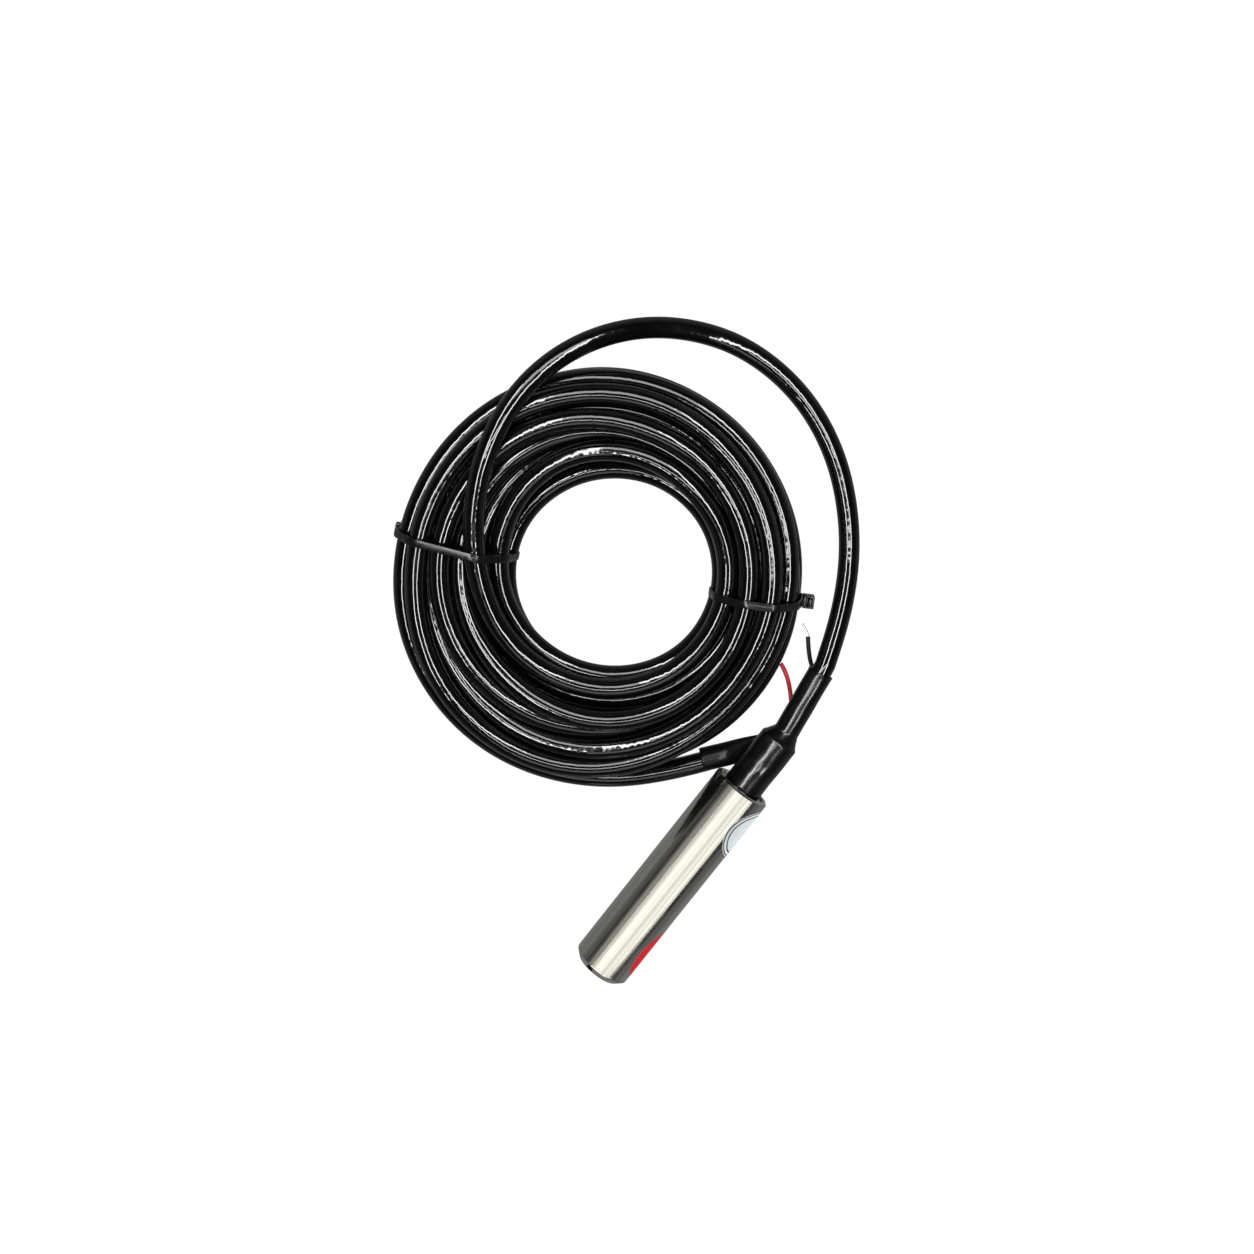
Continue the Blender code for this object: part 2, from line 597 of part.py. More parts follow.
def make_electronics():
    make_holder("board_holder_rear", REAR_HOLDER_SPAN)
    make_holder("board_holder_front", FRONT_HOLDER_SPAN)
    rear_x, front_x = along_bay(BOARD_SPAN)
    box("amplifier_board", (rear_x, -BOARD_WIDTH / 2, AXIS_HEIGHT - BOARD_THICKNESS / 2),
        (front_x, BOARD_WIDTH / 2, BOARD_TOP), BOARD)
    chip = on_board("amplifier_chip", CHIP_SPAN, 0, CHIP_WIDTH, CHIP_HEIGHT, CHIP)
    chip_rear, chip_front = along_bay(CHIP_SPAN)
    reach = CHIP_WIDTH / 2 + CHIP_LEG_WIDTH * 2
    for i in range(CHIP_LEGS):
        leg_x = chip_rear + (chip_front - chip_rear) * (i + 0.5) / CHIP_LEGS
        join(chip, box(f"chip_leg_{i}",
                       (leg_x - CHIP_LEG_WIDTH / 2, -reach, BOARD_TOP + CLEARANCE / 2),
                       (leg_x + CHIP_LEG_WIDTH / 2, reach, BOARD_TOP + CHIP_HEIGHT / 2),
                       None, CUTTERS))
    on_board("voltage_regulator", REGULATOR_SPAN, 0, REGULATOR_WIDTH, REGULATOR_HEIGHT, CHIP)
    on_board("terminal_block", TERMINAL_SPAN, 0, TERMINAL_WIDTH, TERMINAL_HEIGHT, TERMINAL)
    on_board("filter_capacitor", CAPACITOR_SPAN, PASSIVES_PITCH / 2, CAPACITOR_WIDTH,
             CAPACITOR_HEIGHT, CAPACITOR)
    on_board("surge_suppressor", SUPPRESSOR_SPAN, -PASSIVES_PITCH / 2, SUPPRESSOR_WIDTH,
             SUPPRESSOR_HEIGHT, CHIP)
    ribbon_rear, ribbon_front = along_bay(RIBBON_SPAN)
    box("cell_ribbon",
        (ribbon_rear, -RIBBON_WIDTH / 2, RIBBON_HEIGHT - RIBBON_THICKNESS / 2),
        (ribbon_front, RIBBON_WIDTH / 2, RIBBON_HEIGHT + RIBBON_THICKNESS / 2), RIBBON)


def make_inner_leads():
    """The cable's two cores run to the terminal block. Its vent tube ends beside the board."""
    start = REAR_X + CABLE_IN_HOUSING + CLEARANCE
    end = along_bay(TERMINAL_SPAN)[0] - CLEARANCE
    rise = BOARD_TOP + CLEARANCE + TERMINAL_HEIGHT / 2 - AXIS_HEIGHT
    for name, side, made_of in (("inner_core_red", 0.5, RED_INSULATION),
                                ("inner_core_black", -0.5, BLACK_INSULATION)):
        route = [(start + (end - start) * along, side * INNER_CORE_SPACING, AXIS_HEIGHT + rise * up)
                 for along, up in LEAD_RISE]
        tube(name, smooth_route(route, LEAD_SAMPLES), INNER_CORE_DIAMETER / 2, made_of, 2)
    low = AXIS_HEIGHT - VENT_TUBE_DROP
    tube("vent_tube", smooth_route([(start, 0, low), (start + VENT_TUBE_LENGTH, 0, low)], 3),
         VENT_TUBE_DIAMETER / 2, VENT_PLASTIC, 2)


def make_gland():
    plug_groove_rear = PLUG_REAR_X + PLUG_GROOVE_FROM_REAR
    pocket_depth = SEAL_LENGTH + WASHER_LENGTH + NUT_SHANK_LENGTH + 2 * CLEARANCE
    pocket_radius = SEAL_DIAMETER / 2 + CLEARANCE
    pocket_end = SPIGOT_REAR_X + pocket_depth
    turned("gland_body", [
        (PLUG_FRONT_X, PLUG_RADIUS),
        (plug_groove_rear + PLUG_GROOVE_WIDTH, PLUG_RADIUS),
        (plug_groove_rear + PLUG_GROOVE_WIDTH, PLUG_GROOVE_ROOT / 2),
        (plug_groove_rear, PLUG_GROOVE_ROOT / 2),
        (plug_groove_rear, PLUG_RADIUS),
        (PLUG_REAR_X, PLUG_RADIUS),
        (PLUG_REAR_X, SPIGOT_DIAMETER / 2),
        (SPIGOT_REAR_X, SPIGOT_DIAMETER / 2),
        (SPIGOT_REAR_X, pocket_radius),
        (pocket_end, pocket_radius),
        (pocket_end, CABLE_HOLE),
        (PLUG_FRONT_X, CABLE_HOLE),
    ], STEEL, LARGE_STEPS)
    make_o_ring("gland_o_ring", plug_groove_rear, PLUG_GROOVE_WIDTH, PLUG_GROOVE_ROOT / 2,
                REAR_BORE / 2)
    seal_front = pocket_end - CLEARANCE
    seal_rear = seal_front - SEAL_LENGTH
    ring = SEAL_DIAMETER / 2
    turned("cable_seal", [
        (seal_front, ring), (seal_rear, ring),
        (seal_rear, CABLE_HOLE), (seal_front, CABLE_HOLE)], RUBBER, MEDIUM_STEPS)
    washer_front = seal_rear - CLEARANCE
    washer_rear = washer_front - WASHER_LENGTH
    turned("seal_washer", [
        (washer_front, ring), (washer_rear, ring),
        (washer_rear, CABLE_HOLE), (washer_front, CABLE_HOLE)], BRASS, MEDIUM_STEPS)
    shank_front = washer_rear - CLEARANCE
    flange_front = SPIGOT_REAR_X - CLEARANCE
    flange_rear = flange_front - NUT_FLANGE
    nut = turned("gland_nut", [
        (shank_front, ring), (flange_front, ring),
        (flange_front, SPIGOT_DIAMETER / 2), (flange_rear, SPIGOT_DIAMETER / 2),
        (flange_rear, CABLE_HOLE), (shank_front, CABLE_HOLE)], STEEL, MEDIUM_STEPS)
    cut(nut, box("nut_slot_cutter",
                 (flange_rear - CLEARANCE, -SPIGOT_DIAMETER, AXIS_HEIGHT - NUT_SLOT_WIDTH / 2),
                 (flange_rear + NUT_FLANGE / 2, SPIGOT_DIAMETER, AXIS_HEIGHT + NUT_SLOT_WIDTH / 2),
                 None, CUTTERS))
    clamp_rear = PLUG_FRONT_X + CLEARANCE
    turned("cable_clamp_ring", [
        (clamp_rear + CLAMP_LENGTH, CLAMP_DIAMETER / 2), (clamp_rear, CLAMP_DIAMETER / 2),
        (clamp_rear, CABLE_HOLE), (clamp_rear + CLAMP_LENGTH, CABLE_HOLE)], BRASS, MEDIUM_STEPS)


def boot_points(distances):
    places = []
    for distance in distances:
        (back, aside), _ = boot_axis(distance)
        places.append((REAR_X - back, -aside, AXIS_HEIGHT))
    return places


def make_boot_and_cable():
    """Stepped heat-shrink boot over the gland's spigot and the cable, and the cable inside it."""
    start = CLEARANCE - PLUG_RECESS
    shoulder = BOOT_LARGE_LENGTH
    neck = BOOT_LARGE_LENGTH + BOOT_TAPER_LENGTH
    bend_end = BOOT_BEND_START + BOOT_BEND_RADIUS * BOOT_BEND
    past_bend = bend_end + BOOT_BEND_SETTLE
    stations = [start, shoulder / 2, shoulder - BOOT_SHOULDER_ROUND, shoulder, BOOT_BEND_START,
                (BOOT_BEND_START + neck) / 2, neck, past_bend, (past_bend + BOOT_LENGTH) / 2,
                BOOT_LENGTH]

    def outer_radius(distance):
        if distance < shoulder:
            return BOOT_LARGE_RADIUS
        share = min((distance - shoulder) / BOOT_TAPER_LENGTH, 1.0)
        edge = BOOT_LARGE_RADIUS - BOOT_SHOULDER_DROP
        return edge + (BOOT_SMALL_RADIUS - edge) * share ** BOOT_TAPER_POWER

    radii = [outer_radius(distance) for distance in stations]
    boot = as_mesh(tube("heat_shrink_boot", boot_points(stations), BOOT_LARGE_RADIUS, SHRINK, 6,
                        radii))
    bore_stations = [start - BORE_OVERRUN] + stations[1:-1] + [BOOT_LENGTH + BORE_OVERRUN]
    bore_radii = [radius - BOOT_WALL for radius in radii]
    bore = as_mesh(tube("boot_bore_cutter", boot_points(bore_stations), BOOT_LARGE_RADIUS, None, 6,
                        bore_radii), CUTTERS)
    cut(boot, bore)
    inside = [-CABLE_IN_HOUSING, 0, shoulder, BOOT_BEND_START, (BOOT_BEND_START + neck) / 2,
              neck, past_bend, BOOT_LENGTH]
    tube("cable_in_gland", boot_points(inside), CABLE_DIAMETER / 2, JACKET, 4)


def coil_radii(angle):
    """Inner and outer radius of the coil at an angle, eased between the listed steps."""
    place = angle / (2 * pi) * len(COIL_INNER_SHIFTS)
    near = int(place // 1)
    share = (1 - cos(pi * (place - near))) / 2
    radii = []
    for radius, shifts in ((COIL_INNER_RADIUS, COIL_INNER_SHIFTS),
                           (COIL_OUTER_RADIUS, COIL_OUTER_SHIFTS)):
        start = shifts[near % len(shifts)]
        end = shifts[(near + 1) % len(shifts)]
        radii.append(radius + start + (end - start) * share)
    return radii


def coil_section(angle, offset=0.0, bottom=0.0):
    """Outline of the coil's cross section, as (radius, height), a given distance outside it.

    It runs from the top of the outer side down to the bottom, in, and up the inner side.
    """
    inner, outer = coil_radii(angle)
    top = COIL_HEIGHT - COIL_TOP_ROUND
    top_reach = COIL_TOP_ROUND + offset
    low_reach = COIL_BOTTOM_ROUND + offset
    low_drop = COIL_BOTTOM_ROUND - bottom
    corners = [
        (outer - COIL_TOP_ROUND, top, top_reach, top_reach, pi / 2, 0),
        (outer - COIL_BOTTOM_ROUND, COIL_BOTTOM_ROUND, low_reach, low_drop, 0, -pi / 2),
        (inner + COIL_BOTTOM_ROUND, COIL_BOTTOM_ROUND, low_reach, low_drop, -pi / 2, -pi),
        (inner + COIL_TOP_ROUND, top, top_reach, top_reach, pi, pi / 2),
    ]
    outline = []
    for centre_r, centre_z, reach_r, reach_z, begin, end in corners:
        for i in range(COIL_CORNER_STEPS + 1):
            turn = begin + (end - begin) * i / COIL_CORNER_STEPS
            outline.append((centre_r + reach_r * cos(turn), centre_z + reach_z * sin(turn)))
    return outline


def loft_rings(name, rings, made_of, closed):
    """A mesh through rings of points, with end faces where it isn't closed on itself."""
    mesh = bpy.data.meshes.new(name)
    shape = bmesh.new()
    made = [[shape.verts.new(spot) for spot in ring] for ring in rings]
    pairs = list(zip(made, made[1:]))
    if closed:
        pairs.append((made[-1], made[0]))
    else:
        shape.faces.new(made[0])
        shape.faces.new(made[-1])
    sides = len(made[0])
    for near, far in pairs:
        for k in range(sides):
            following = (k + 1) % sides
            shape.faces.new((near[k], near[following], far[following], far[k]))
    bmesh.ops.recalc_face_normals(shape, faces=shape.faces)
    shape.to_mesh(mesh)
    shape.free()
    return add_object(name, mesh, made_of)


def make_coil():
    """The wound cable as one ring that follows the coil's outline, grooved for the ties."""
    rings = []
    for step in range(COIL_STEPS):
        angle = 2 * pi * step / COIL_STEPS
        rings.append([(radius * cos(angle), radius * sin(angle), height)
                      for radius, height in coil_section(angle)])
    coil = loft_rings("cable_coil", rings, JACKET, True)
    coil.location = (*COIL_CENTRE, 0)
    for name, angle in (("left", TIE_LEFT_ANGLE), ("right", TIE_RIGHT_ANGLE)):
        groove = strap_band(
            name + "_groove_cutter", angle, -STRAP_SINK, 3 * STRAP_THICKNESS,
            TIE_LIFT + STRAP_THICKNESS + CLEARANCE, -STRAP_THICKNESS,
            STRAP_WIDTH + 2 * CLEARANCE, None, CUTTERS)
        cut(coil, groove)


def strap_band(name, angle, inner_offset, outer_offset, inner_bottom, outer_bottom, width,
               made_of, collection=None):
    """A flat band round the coil's section, standing upright across the coil at an angle."""
    curve = bpy.data.curves.new(name, "CURVE")
    curve.dimensions = "2D"
    curve.fill_mode = "BOTH"
    curve.extrude = width / 2
    for offset, bottom in ((outer_offset, outer_bottom), (inner_offset, inner_bottom)):
        outline = coil_section(angle, offset, bottom)
        spline = curve.splines.new("POLY")
        spline.points.add(len(outline) - 1)
        for point, (radius, height) in zip(spline.points, outline):
            point.co = (radius, height, 0, 1)
        spline.use_cyclic_u = True
    band = add_object(name, curve, made_of, collection)
    band.rotation_euler = (pi / 2, 0, angle)
    band.location = (*COIL_CENTRE, 0)
    return as_mesh(band, collection)


def make_tie(name, angle, head_size, head_height):
    """Cable tie: strap, ratchet head and the stub of its trimmed end, moulded as one piece."""
    gap = CLEARANCE - STRAP_SINK
    band = strap_band(name, angle, gap, gap + STRAP_THICKNESS, TIE_LIFT + STRAP_THICKNESS,
                      TIE_LIFT, STRAP_WIDTH, None)
    band.data.materials.append(NYLON)
    depth, width, height = head_size
    near = coil_radii(angle)[1] + gap + STRAP_THICKNESS / 2
    head = box(name + "_head", (0, -width / 2, head_height - height / 2),
               (depth, width / 2, head_height + height / 2), None, CUTTERS)
    stub_depth, stub_width, stub_height = TIE_STUB
    stub = box(name + "_stub", (0, -stub_width / 2, 0), (stub_depth, stub_width / 2, stub_height),
               None, CUTTERS)
    stub_middle = near + depth * TIE_STUB_PLACE
    stub_height_middle = head_height + height / 2 + stub_height * TIE_STUB_RISE
    for block, reach, level in ((head, near + depth / 2, head_height),
                                (stub, stub_middle, stub_height_middle)):
        block.location = (COIL_CENTRE[0] + reach * cos(angle), COIL_CENTRE[1] + reach * sin(angle),
                          level)
        block.rotation_euler = (0, 0, angle)
        join(band, block)


def make_loop():
    (back, aside), (along, across) = boot_axis(BOOT_LENGTH)
    start = Vector((REAR_X - back - CLEARANCE * along, -aside - CLEARANCE * across, AXIS_HEIGHT))
    straight = start + Vector((-along, -across, 0)) * LOOP_STRAIGHT
    route = smooth_route([straight] + LOOP_ROUTE, LOOP_SAMPLES)
    tube("cable_loop", [start] + route, CABLE_DIAMETER / 2, JACKET, 4)


def make_sleeve():
    """Loft of ellipses along the sleeve's route, from the cable's round to a flattened end."""
    rings = []
    route = [Vector((x, y, 0)) for x, y in SLEEVE_ROUTE]
    for i, (place, height, width) in enumerate(zip(route, SLEEVE_HEIGHTS, SLEEVE_WIDTHS)):
        ahead = route[min(i + 1, len(route) - 1)] - route[max(i - 1, 0)]
        across = Vector((ahead.y, -ahead.x, 0)).normalized()
        ring = []
        for k in range(SLEEVE_SIDES):
            angle = 2 * pi * k / SLEEVE_SIDES
            spot = place + across * (width / 2 * cos(angle))
            spot.z = height / 2 * (1 + sin(angle)) + TIE_LIFT
            ring.append(spot)
        rings.append(ring)
    loft_rings("tail_sleeve", rings, SHRINK, False)


def make_tail():
    tube("cable_tail", smooth_route(TAIL_ROUTE, 3), CABLE_DIAMETER / 2, JACKET, 4)
    make_sleeve()
    for name, route, made_of in (("core_red", RED_CORE_ROUTE, RED_INSULATION),
                                 ("core_black", BLACK_CORE_ROUTE, BLACK_INSULATION)):
        samples = len(route) + CORE_EXTRA_SAMPLES
        tube(name, smooth_route(route, samples), CORE_DIAMETER / 2, made_of, 2)
    for name, route in (("tip_red", RED_TIP_ROUTE), ("tip_black", BLACK_TIP_ROUTE)):
        tube(name, route, TIP_DIAMETER / 2, TINNED, 2)


def main():
    make_housing()
    make_nose_cap()
    make_pressure_cell()
    make_electronics()
    make_inner_leads()
    make_gland()
    make_boot_and_cable()
    make_coil()
    make_tie("cable_tie_left", TIE_LEFT_ANGLE, LEFT_TIE_HEAD, LEFT_TIE_HEAD_HEIGHT)
    make_tie("cable_tie_right", TIE_RIGHT_ANGLE, RIGHT_TIE_HEAD, RIGHT_TIE_HEAD_HEIGHT)
    make_loop()
    make_tail()


main()
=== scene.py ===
"""Submersible level transmitter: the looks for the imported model.

Metres, in the row's own frame. The probe lies along X with its nose at +X. The cable leaves the
bent boot, makes a wide loop, is wound into a tied coil and ends in a sleeve with two cores.
Surfaces are numpy arrays of rings. Their shape formulas stand in the functions that make them.
"""
import json
from math import atan, cos, pi, radians, sin

import bmesh
import bpy
import numpy as np
from mathutils import Matrix, Vector

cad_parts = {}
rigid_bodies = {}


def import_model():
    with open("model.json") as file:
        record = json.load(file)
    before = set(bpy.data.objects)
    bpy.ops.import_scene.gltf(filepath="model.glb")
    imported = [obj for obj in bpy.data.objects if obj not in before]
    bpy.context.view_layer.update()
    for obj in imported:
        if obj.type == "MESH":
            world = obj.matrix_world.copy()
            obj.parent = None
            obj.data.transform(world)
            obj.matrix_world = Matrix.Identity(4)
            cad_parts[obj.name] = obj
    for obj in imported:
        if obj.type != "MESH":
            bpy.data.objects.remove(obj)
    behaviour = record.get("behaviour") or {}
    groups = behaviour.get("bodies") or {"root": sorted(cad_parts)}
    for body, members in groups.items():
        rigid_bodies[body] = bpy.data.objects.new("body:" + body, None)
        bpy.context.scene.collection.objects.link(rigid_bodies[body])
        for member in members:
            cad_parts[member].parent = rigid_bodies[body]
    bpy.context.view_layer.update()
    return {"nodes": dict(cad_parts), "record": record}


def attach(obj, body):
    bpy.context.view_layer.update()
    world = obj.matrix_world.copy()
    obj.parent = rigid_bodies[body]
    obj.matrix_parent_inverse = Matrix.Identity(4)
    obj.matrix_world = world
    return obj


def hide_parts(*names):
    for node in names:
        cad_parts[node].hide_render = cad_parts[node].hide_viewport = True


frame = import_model()

# Sizes and places that part.py gives, in metres
HOUSING_RADIUS = 0.011
HOUSING_LENGTH = 0.088
NOSE_X = 0.0695018
REAR_X = NOSE_X - HOUSING_LENGTH
AXIS_HEIGHT = 0.011
NOSE_FLANGE = 0.0031
NOSE_CHAMFER = 0.0025
CABLE_DIAMETER = 0.0075
CABLE_RADIUS = CABLE_DIAMETER / 2
BOOT_LARGE_RADIUS = 0.0073
BOOT_SMALL_RADIUS = 0.0046
BOOT_SHOULDER = 0.0218
BOOT_TAPER = 0.0040
BOOT_LENGTH = 0.0506
BOOT_BEND_START = 0.0238
BOOT_BEND_RADIUS = 0.020
BOOT_BEND = radians(8.3)
COIL_CENTRE = (-0.0500, -0.0857)
STRAP_WIDTH = 0.0028
TIE_LEFT_ANGLE = radians(-66.0)
TIE_RIGHT_ANGLE = radians(120.2)
SLEEVE_ROUTE = [
    (-0.0160, -0.0167), (-0.0183, -0.0148), (-0.0206, -0.0129), (-0.0228, -0.0110),
    (-0.0253, -0.0088), (-0.0279, -0.0063), (-0.0303, -0.0038), (-0.0326, -0.0015),
]
SLEEVE_HEIGHTS = [0.0088, 0.0088, 0.0088, 0.0082, 0.0066, 0.0050, 0.0036, 0.0030]
SLEEVE_WIDTHS = [0.0088, 0.0088, 0.0088, 0.0088, 0.0089, 0.0091, 0.0093, 0.0094]
CORE_RADIUS = 0.0008
RED_CORE_ROUTE = [
    (-0.0336, 0.0002, 0.0013), (-0.0362, 0.0020, 0.0010), (-0.0400, 0.0029, 0.0009),
    (-0.0445, 0.0022, 0.0009), (-0.0492, -0.0006, 0.0009), (-0.0541, -0.0048, 0.0009),
    (-0.0577, -0.0087, 0.0009), (-0.0600, -0.0121, 0.0009), (-0.0614, -0.0150, 0.0009),
]
RED_TIP_ROUTE = [
    (-0.0614, -0.0150, 0.0009), (-0.06155, -0.01535, 0.0009), (-0.0620, -0.0166, 0.0009),
]
BLACK_CORE_ROUTE = [
    (-0.0320, 0.0014, 0.0013), (-0.0345, 0.0036, 0.0010), (-0.0385, 0.0052, 0.0009),
    (-0.0440, 0.0057, 0.0009), (-0.0505, 0.0050, 0.0009), (-0.0570, 0.0032, 0.0009),
    (-0.0625, 0.0000, 0.0009), (-0.0662, -0.0038, 0.0009), (-0.0690, -0.0075, 0.0009),
    (-0.0722, -0.0107, 0.0009), (-0.0752, -0.0133, 0.0009),
]
BLACK_TIP_ROUTE = [
    (-0.0752, -0.0133, 0.0009), (-0.07545, -0.01355, 0.0009), (-0.0767, -0.0153, 0.0009),
    (-0.0778, -0.0178, 0.0009),
]

# Turn from the coil's wound angle to the angle about +Z from +X
COIL_TURN = 126.89

# Where the cable's upper turns run: wound angle in degrees, radius in mm, and on the free loop the
# height in mm. They were read off the photograph. The hidden turns only get a lane, and settle.
LOOP_TURN = [
    (-18.1, 84.3, 10.2), (-12, 84.9, 8.2), (-5.6, 85.6, 6.2), (0.5, 86.6, 4.8), (6.5, 87.6, 4.0),
    (12.9, 88.7, 3.8), (22.3, 90.6, 3.8), (29.2, 91.9, 3.8), (36.1, 93.1, 3.8), (43.6, 94.0, 3.8),
    (51.5, 94.3, 3.8),
]
START_TURNS = [
    (60, 94.1), (66.2, 93.4), (75.5, 91.9), (84, 89.3), (91, 86.4), (98.5, 82.8), (108.1, 77.6),
    (116.6, 71.4), (122.9, 66.6), (129.6, 62.5), (137.1, 58.0), (143.8, 54.4), (150, 51.8),
    (157, 49.3), (165, 46.9), (175, 44.1), (191, 42.0), (207, 40.7), (224, 39.2), (240, 38.6),
    (256, 38.9), (273, 39.1), (304, 40.3), (350, 42.0), (365, 43.5), (393, 45.9), (421, 47.9),
    (434, 49.0), (448, 49.1), (461, 48.9), (475, 47.0), (489, 44.4), (504, 42.0), (519, 40.1),
    (534, 38.4), (550, 37.2), (567, 36.0), (583, 35.1),
]
# Height in mm by wound angle, where the cable climbs onto the coil
START_RISE = [(60, 4.2), (66, 5.6), (75.5, 9.4), (84, 14.2), (91, 18.4), (98.5, 21.6), (105, 24.0)]
# The wound angle from which the last turns and their drop to the tail are counted
LAST_TURNS_FROM = 3240
LAST_TURNS = [
    (83, 52.7), (102, 54.7), (116, 55.0), (131, 54.4), (161, 53.1), (176, 51.4), (192, 50.4),
    (208, 50.0), (224, 49.3), (240, 49.3), (256, 50.2), (272, 50.2), (293, 49.5), (303, 49.2),
    (349, 50.0), (364, 50.2), (393, 53.1), (420, 55.5), (448, 58.8), (467, 60.7), (481, 61.3),
    (496, 61.6), (524, 59.4), (537, 58.2), (553, 57.6), (568, 56.9), (584, 55.4), (600, 55.3),
    (616, 53.8), (627, 53.7), (663, 52.8), (709, 53.7), (724, 53.9), (752, 56.2), (780, 59.0),
    (808, 61.1), (866, 63.5), (897, 62.1), (913, 63.0), (929, 63.2), (945, 62.3), (960, 61.7),
    (976, 61.2), (992, 60.3), (1007, 58.5), (1023, 57.6), (1038, 55.8), (1069, 56.1),
    (1083, 57.2), (1112, 60.9), (1140, 64.1), (1168, 66.7), (1187, 67.1), (1211, 67.0),
    (1247, 64.9), (1257, 65.4), (1279, 67.8), (1305, 70.5), (1320, 70.6), (1336, 69.7),
    (1351, 67.4), (1370, 64.2), (1382, 62.7), (1398, 61.7), (1428, 62.9), (1443, 64.3),
    (1472, 67.2), (1500, 69.3), (1514, 70.3), (1543, 71.9), (1567, 72.0), (1602, 70.0),
    (1618, 70.8), (1650, 73.0), (1665, 74.4), (1681, 75.4), (1696, 75.2), (1703, 74.3),
    (1711, 74.0), (1720, 74.3), (1728, 75.6), (1736, 77.4), (1741, 78.8),
]
LAST_DROP = [(1720, 4.9), (1741, 4.4)]
# Radii in mm between which the hidden turns stay, by angle: at the hole and at the outer edge
COIL_EDGES = np.array([
    (0, 38.3, 70.5), (30, 38.9, 71.2), (60, 37.8, 72.7), (90, 35.6, 74.6), (120, 34.0, 74.5),
    (150, 33.3, 73.2), (180, 32.2, 73.4), (210, 29.8, 69.5), (225, 29.0, 71.0), (240, 29.2, 71.5),
    (255, 30.3, 71.5), (270, 31.3, 71.0), (285, 32.9, 70.6), (300, 34.4, 71.2),
    (315, 35.6, 70.8), (330, 36.6, 70.5), (345, 37.2, 70.3), (360, 38.3, 70.5),
])
# From which wound angle on the cable lies over the turns of a lower rank
RANKS = [(0, 9), (265, 6), (600, 0), (3323, 3), (3560, 6), (3772, 5), (3885, 3), (4125, 7),
         (4600, 5), (4845, 4)]
# Lanes of the hidden turns: turns since they went under, and share of the way out
HIDDEN_LANES = [
    (0, 0.0), (0.3, 0.0), (1.0, 0.03), (1.6, 0.28), (2.2, 0.34), (2.8, 0.60), (3.4, 0.68),
    (4.0, 0.95), (4.6, 1.0), (5.2, 0.98), (6.0, 0.62), (6.8, 0.28), (7.3, 0.30), (7.62, 0.42),
]
# Degrees between the planes in which the turns settle, and the rounds that it takes
COIL_STEP = 7.5
SETTLE_ROUNDS = 900
REST_ROUNDS = 500
# In mm: the radius beyond which a turn is the free loop, how much a strap lifts a turn, how near
# middle lines come before turns rest on each other, and from a cable's surface to mid-strap
LOOP_BEYOND = 85
STRAP_LIFT = 1.25
CROSSING = 5.8
STRAP_STANDOFF = 0.62
# The wound angle up to which the radii stay as they were read
TRACED_UNTIL = 200

# The photograph's half width and focal length in pixels, the camera's right and ahead on the
# floor, and the floor point in the middle of its view
HALF_WIDTH, FOCAL_LENGTH = 627, 1934
VIEW_RIGHT = Vector((-0.6003, 0.7998, 0.0))
VIEW_AHEAD = Vector((-0.7998, -0.6003, 0.0))
VIEW_MIDDLE = Vector((-0.03854, -0.06766, 0.0))
WHITE = (1.0, 1.0, 1.0)
WARM = (1.0, 0.99, 0.97)
# Turns that lay a lamp's width across and along the tube
ACROSS_TUBE, ALONG_TUBE = -0.6435, 0.9273
# Lamps: place seen from the camera (right, ahead, high), the floor point that they face, size,
# turn, radiance, tint, and what they light
LAMPS = [
    ("strip_right", (0.28, 0.09, 0.72), (0, 0), (0.09, 0.88), 0.0, 24.0, WHITE, "cable"),
    ("strip_left", (-0.28, 0.09, 0.72), (0, 0), (0.09, 0.88), 0.0, 24.0, WHITE, "cable"),
    ("soft_top", (0.0, 0.44, 0.68), (0, 0), (0.44, 0.26), 0.0, 7.2, WARM, "cable"),
    ("cross_bar", (0.0, -0.03, 0.76), (0, 0), (0.36, 0.06), 0.0, 15.0, WHITE, "cable"),
    ("soft_low", (0.0, -0.46, 0.66), (0, 0), (0.44, 0.28), 0.0, 1.5, WARM, "cable"),
    ("sheen", (0.08, -0.435, 0.72), (0.08, -0.435), (1.45, 1.10), ACROSS_TUBE, 1.24,
     (1.0, 0.985, 0.93), "probe"),
    ("sheen_left", (-0.708, 0.156, 0.60), (-0.708, 0.156), (0.60, 1.10), ACROSS_TUBE, 0.26,
     (1.0, 0.98, 0.93), "probe"),
    ("nose_edge", (-0.544, -0.842, 0.40), (0, 0), (0.90, 0.30), ACROSS_TUBE, 3.0,
     (1.0, 1.0, 0.97), "probe"),
    ("label_side", (0.62, -0.62, 0.36), (0, 0), (0.90, 0.60), ALONG_TUBE, 5.0, WHITE, "label"),
]
# The pieces that the probe's lamps light. The label lamp lights the films, the rest light the rest
PROBE_PIECES = ("housing_tube_skin", "nose_cap_skin", "gland_body", "gland_nut")
# The floor's own glow, and how bright the room is near the floor and overhead
FLOOR_GLOW = 0.955
ROOM_LOW = 0.26
ROOM_HIGH = 0.01


def pose_of(right, up, back, place):
    """The matrix that lays an object's own axes along three directions, at a place."""
    pose = Matrix((right, up, back)).transposed().to_4x4()
    pose.translation = place
    return pose


def add_object(name, data):
    """A new object in the scene."""
    obj = bpy.data.objects.new(name, data)
    bpy.context.scene.collection.objects.link(obj)
    return obj


def make_camera():
    """The photograph's view: 0.7 m away, 12.5 degrees off the vertical."""
    data = bpy.data.cameras.new("camera")
    data.angle = 2 * atan(HALF_WIDTH / FOCAL_LENGTH)
    data.clip_start = 0.01
    camera = add_object("camera", data)
    up = Vector((-0.7808, -0.5861, -0.2164))
    camera.matrix_world = pose_of(VIEW_RIGHT, up, VIEW_RIGHT.cross(up), (-0.1597, -0.1586, 0.6834))
    bpy.context.scene.camera = camera


make_camera()


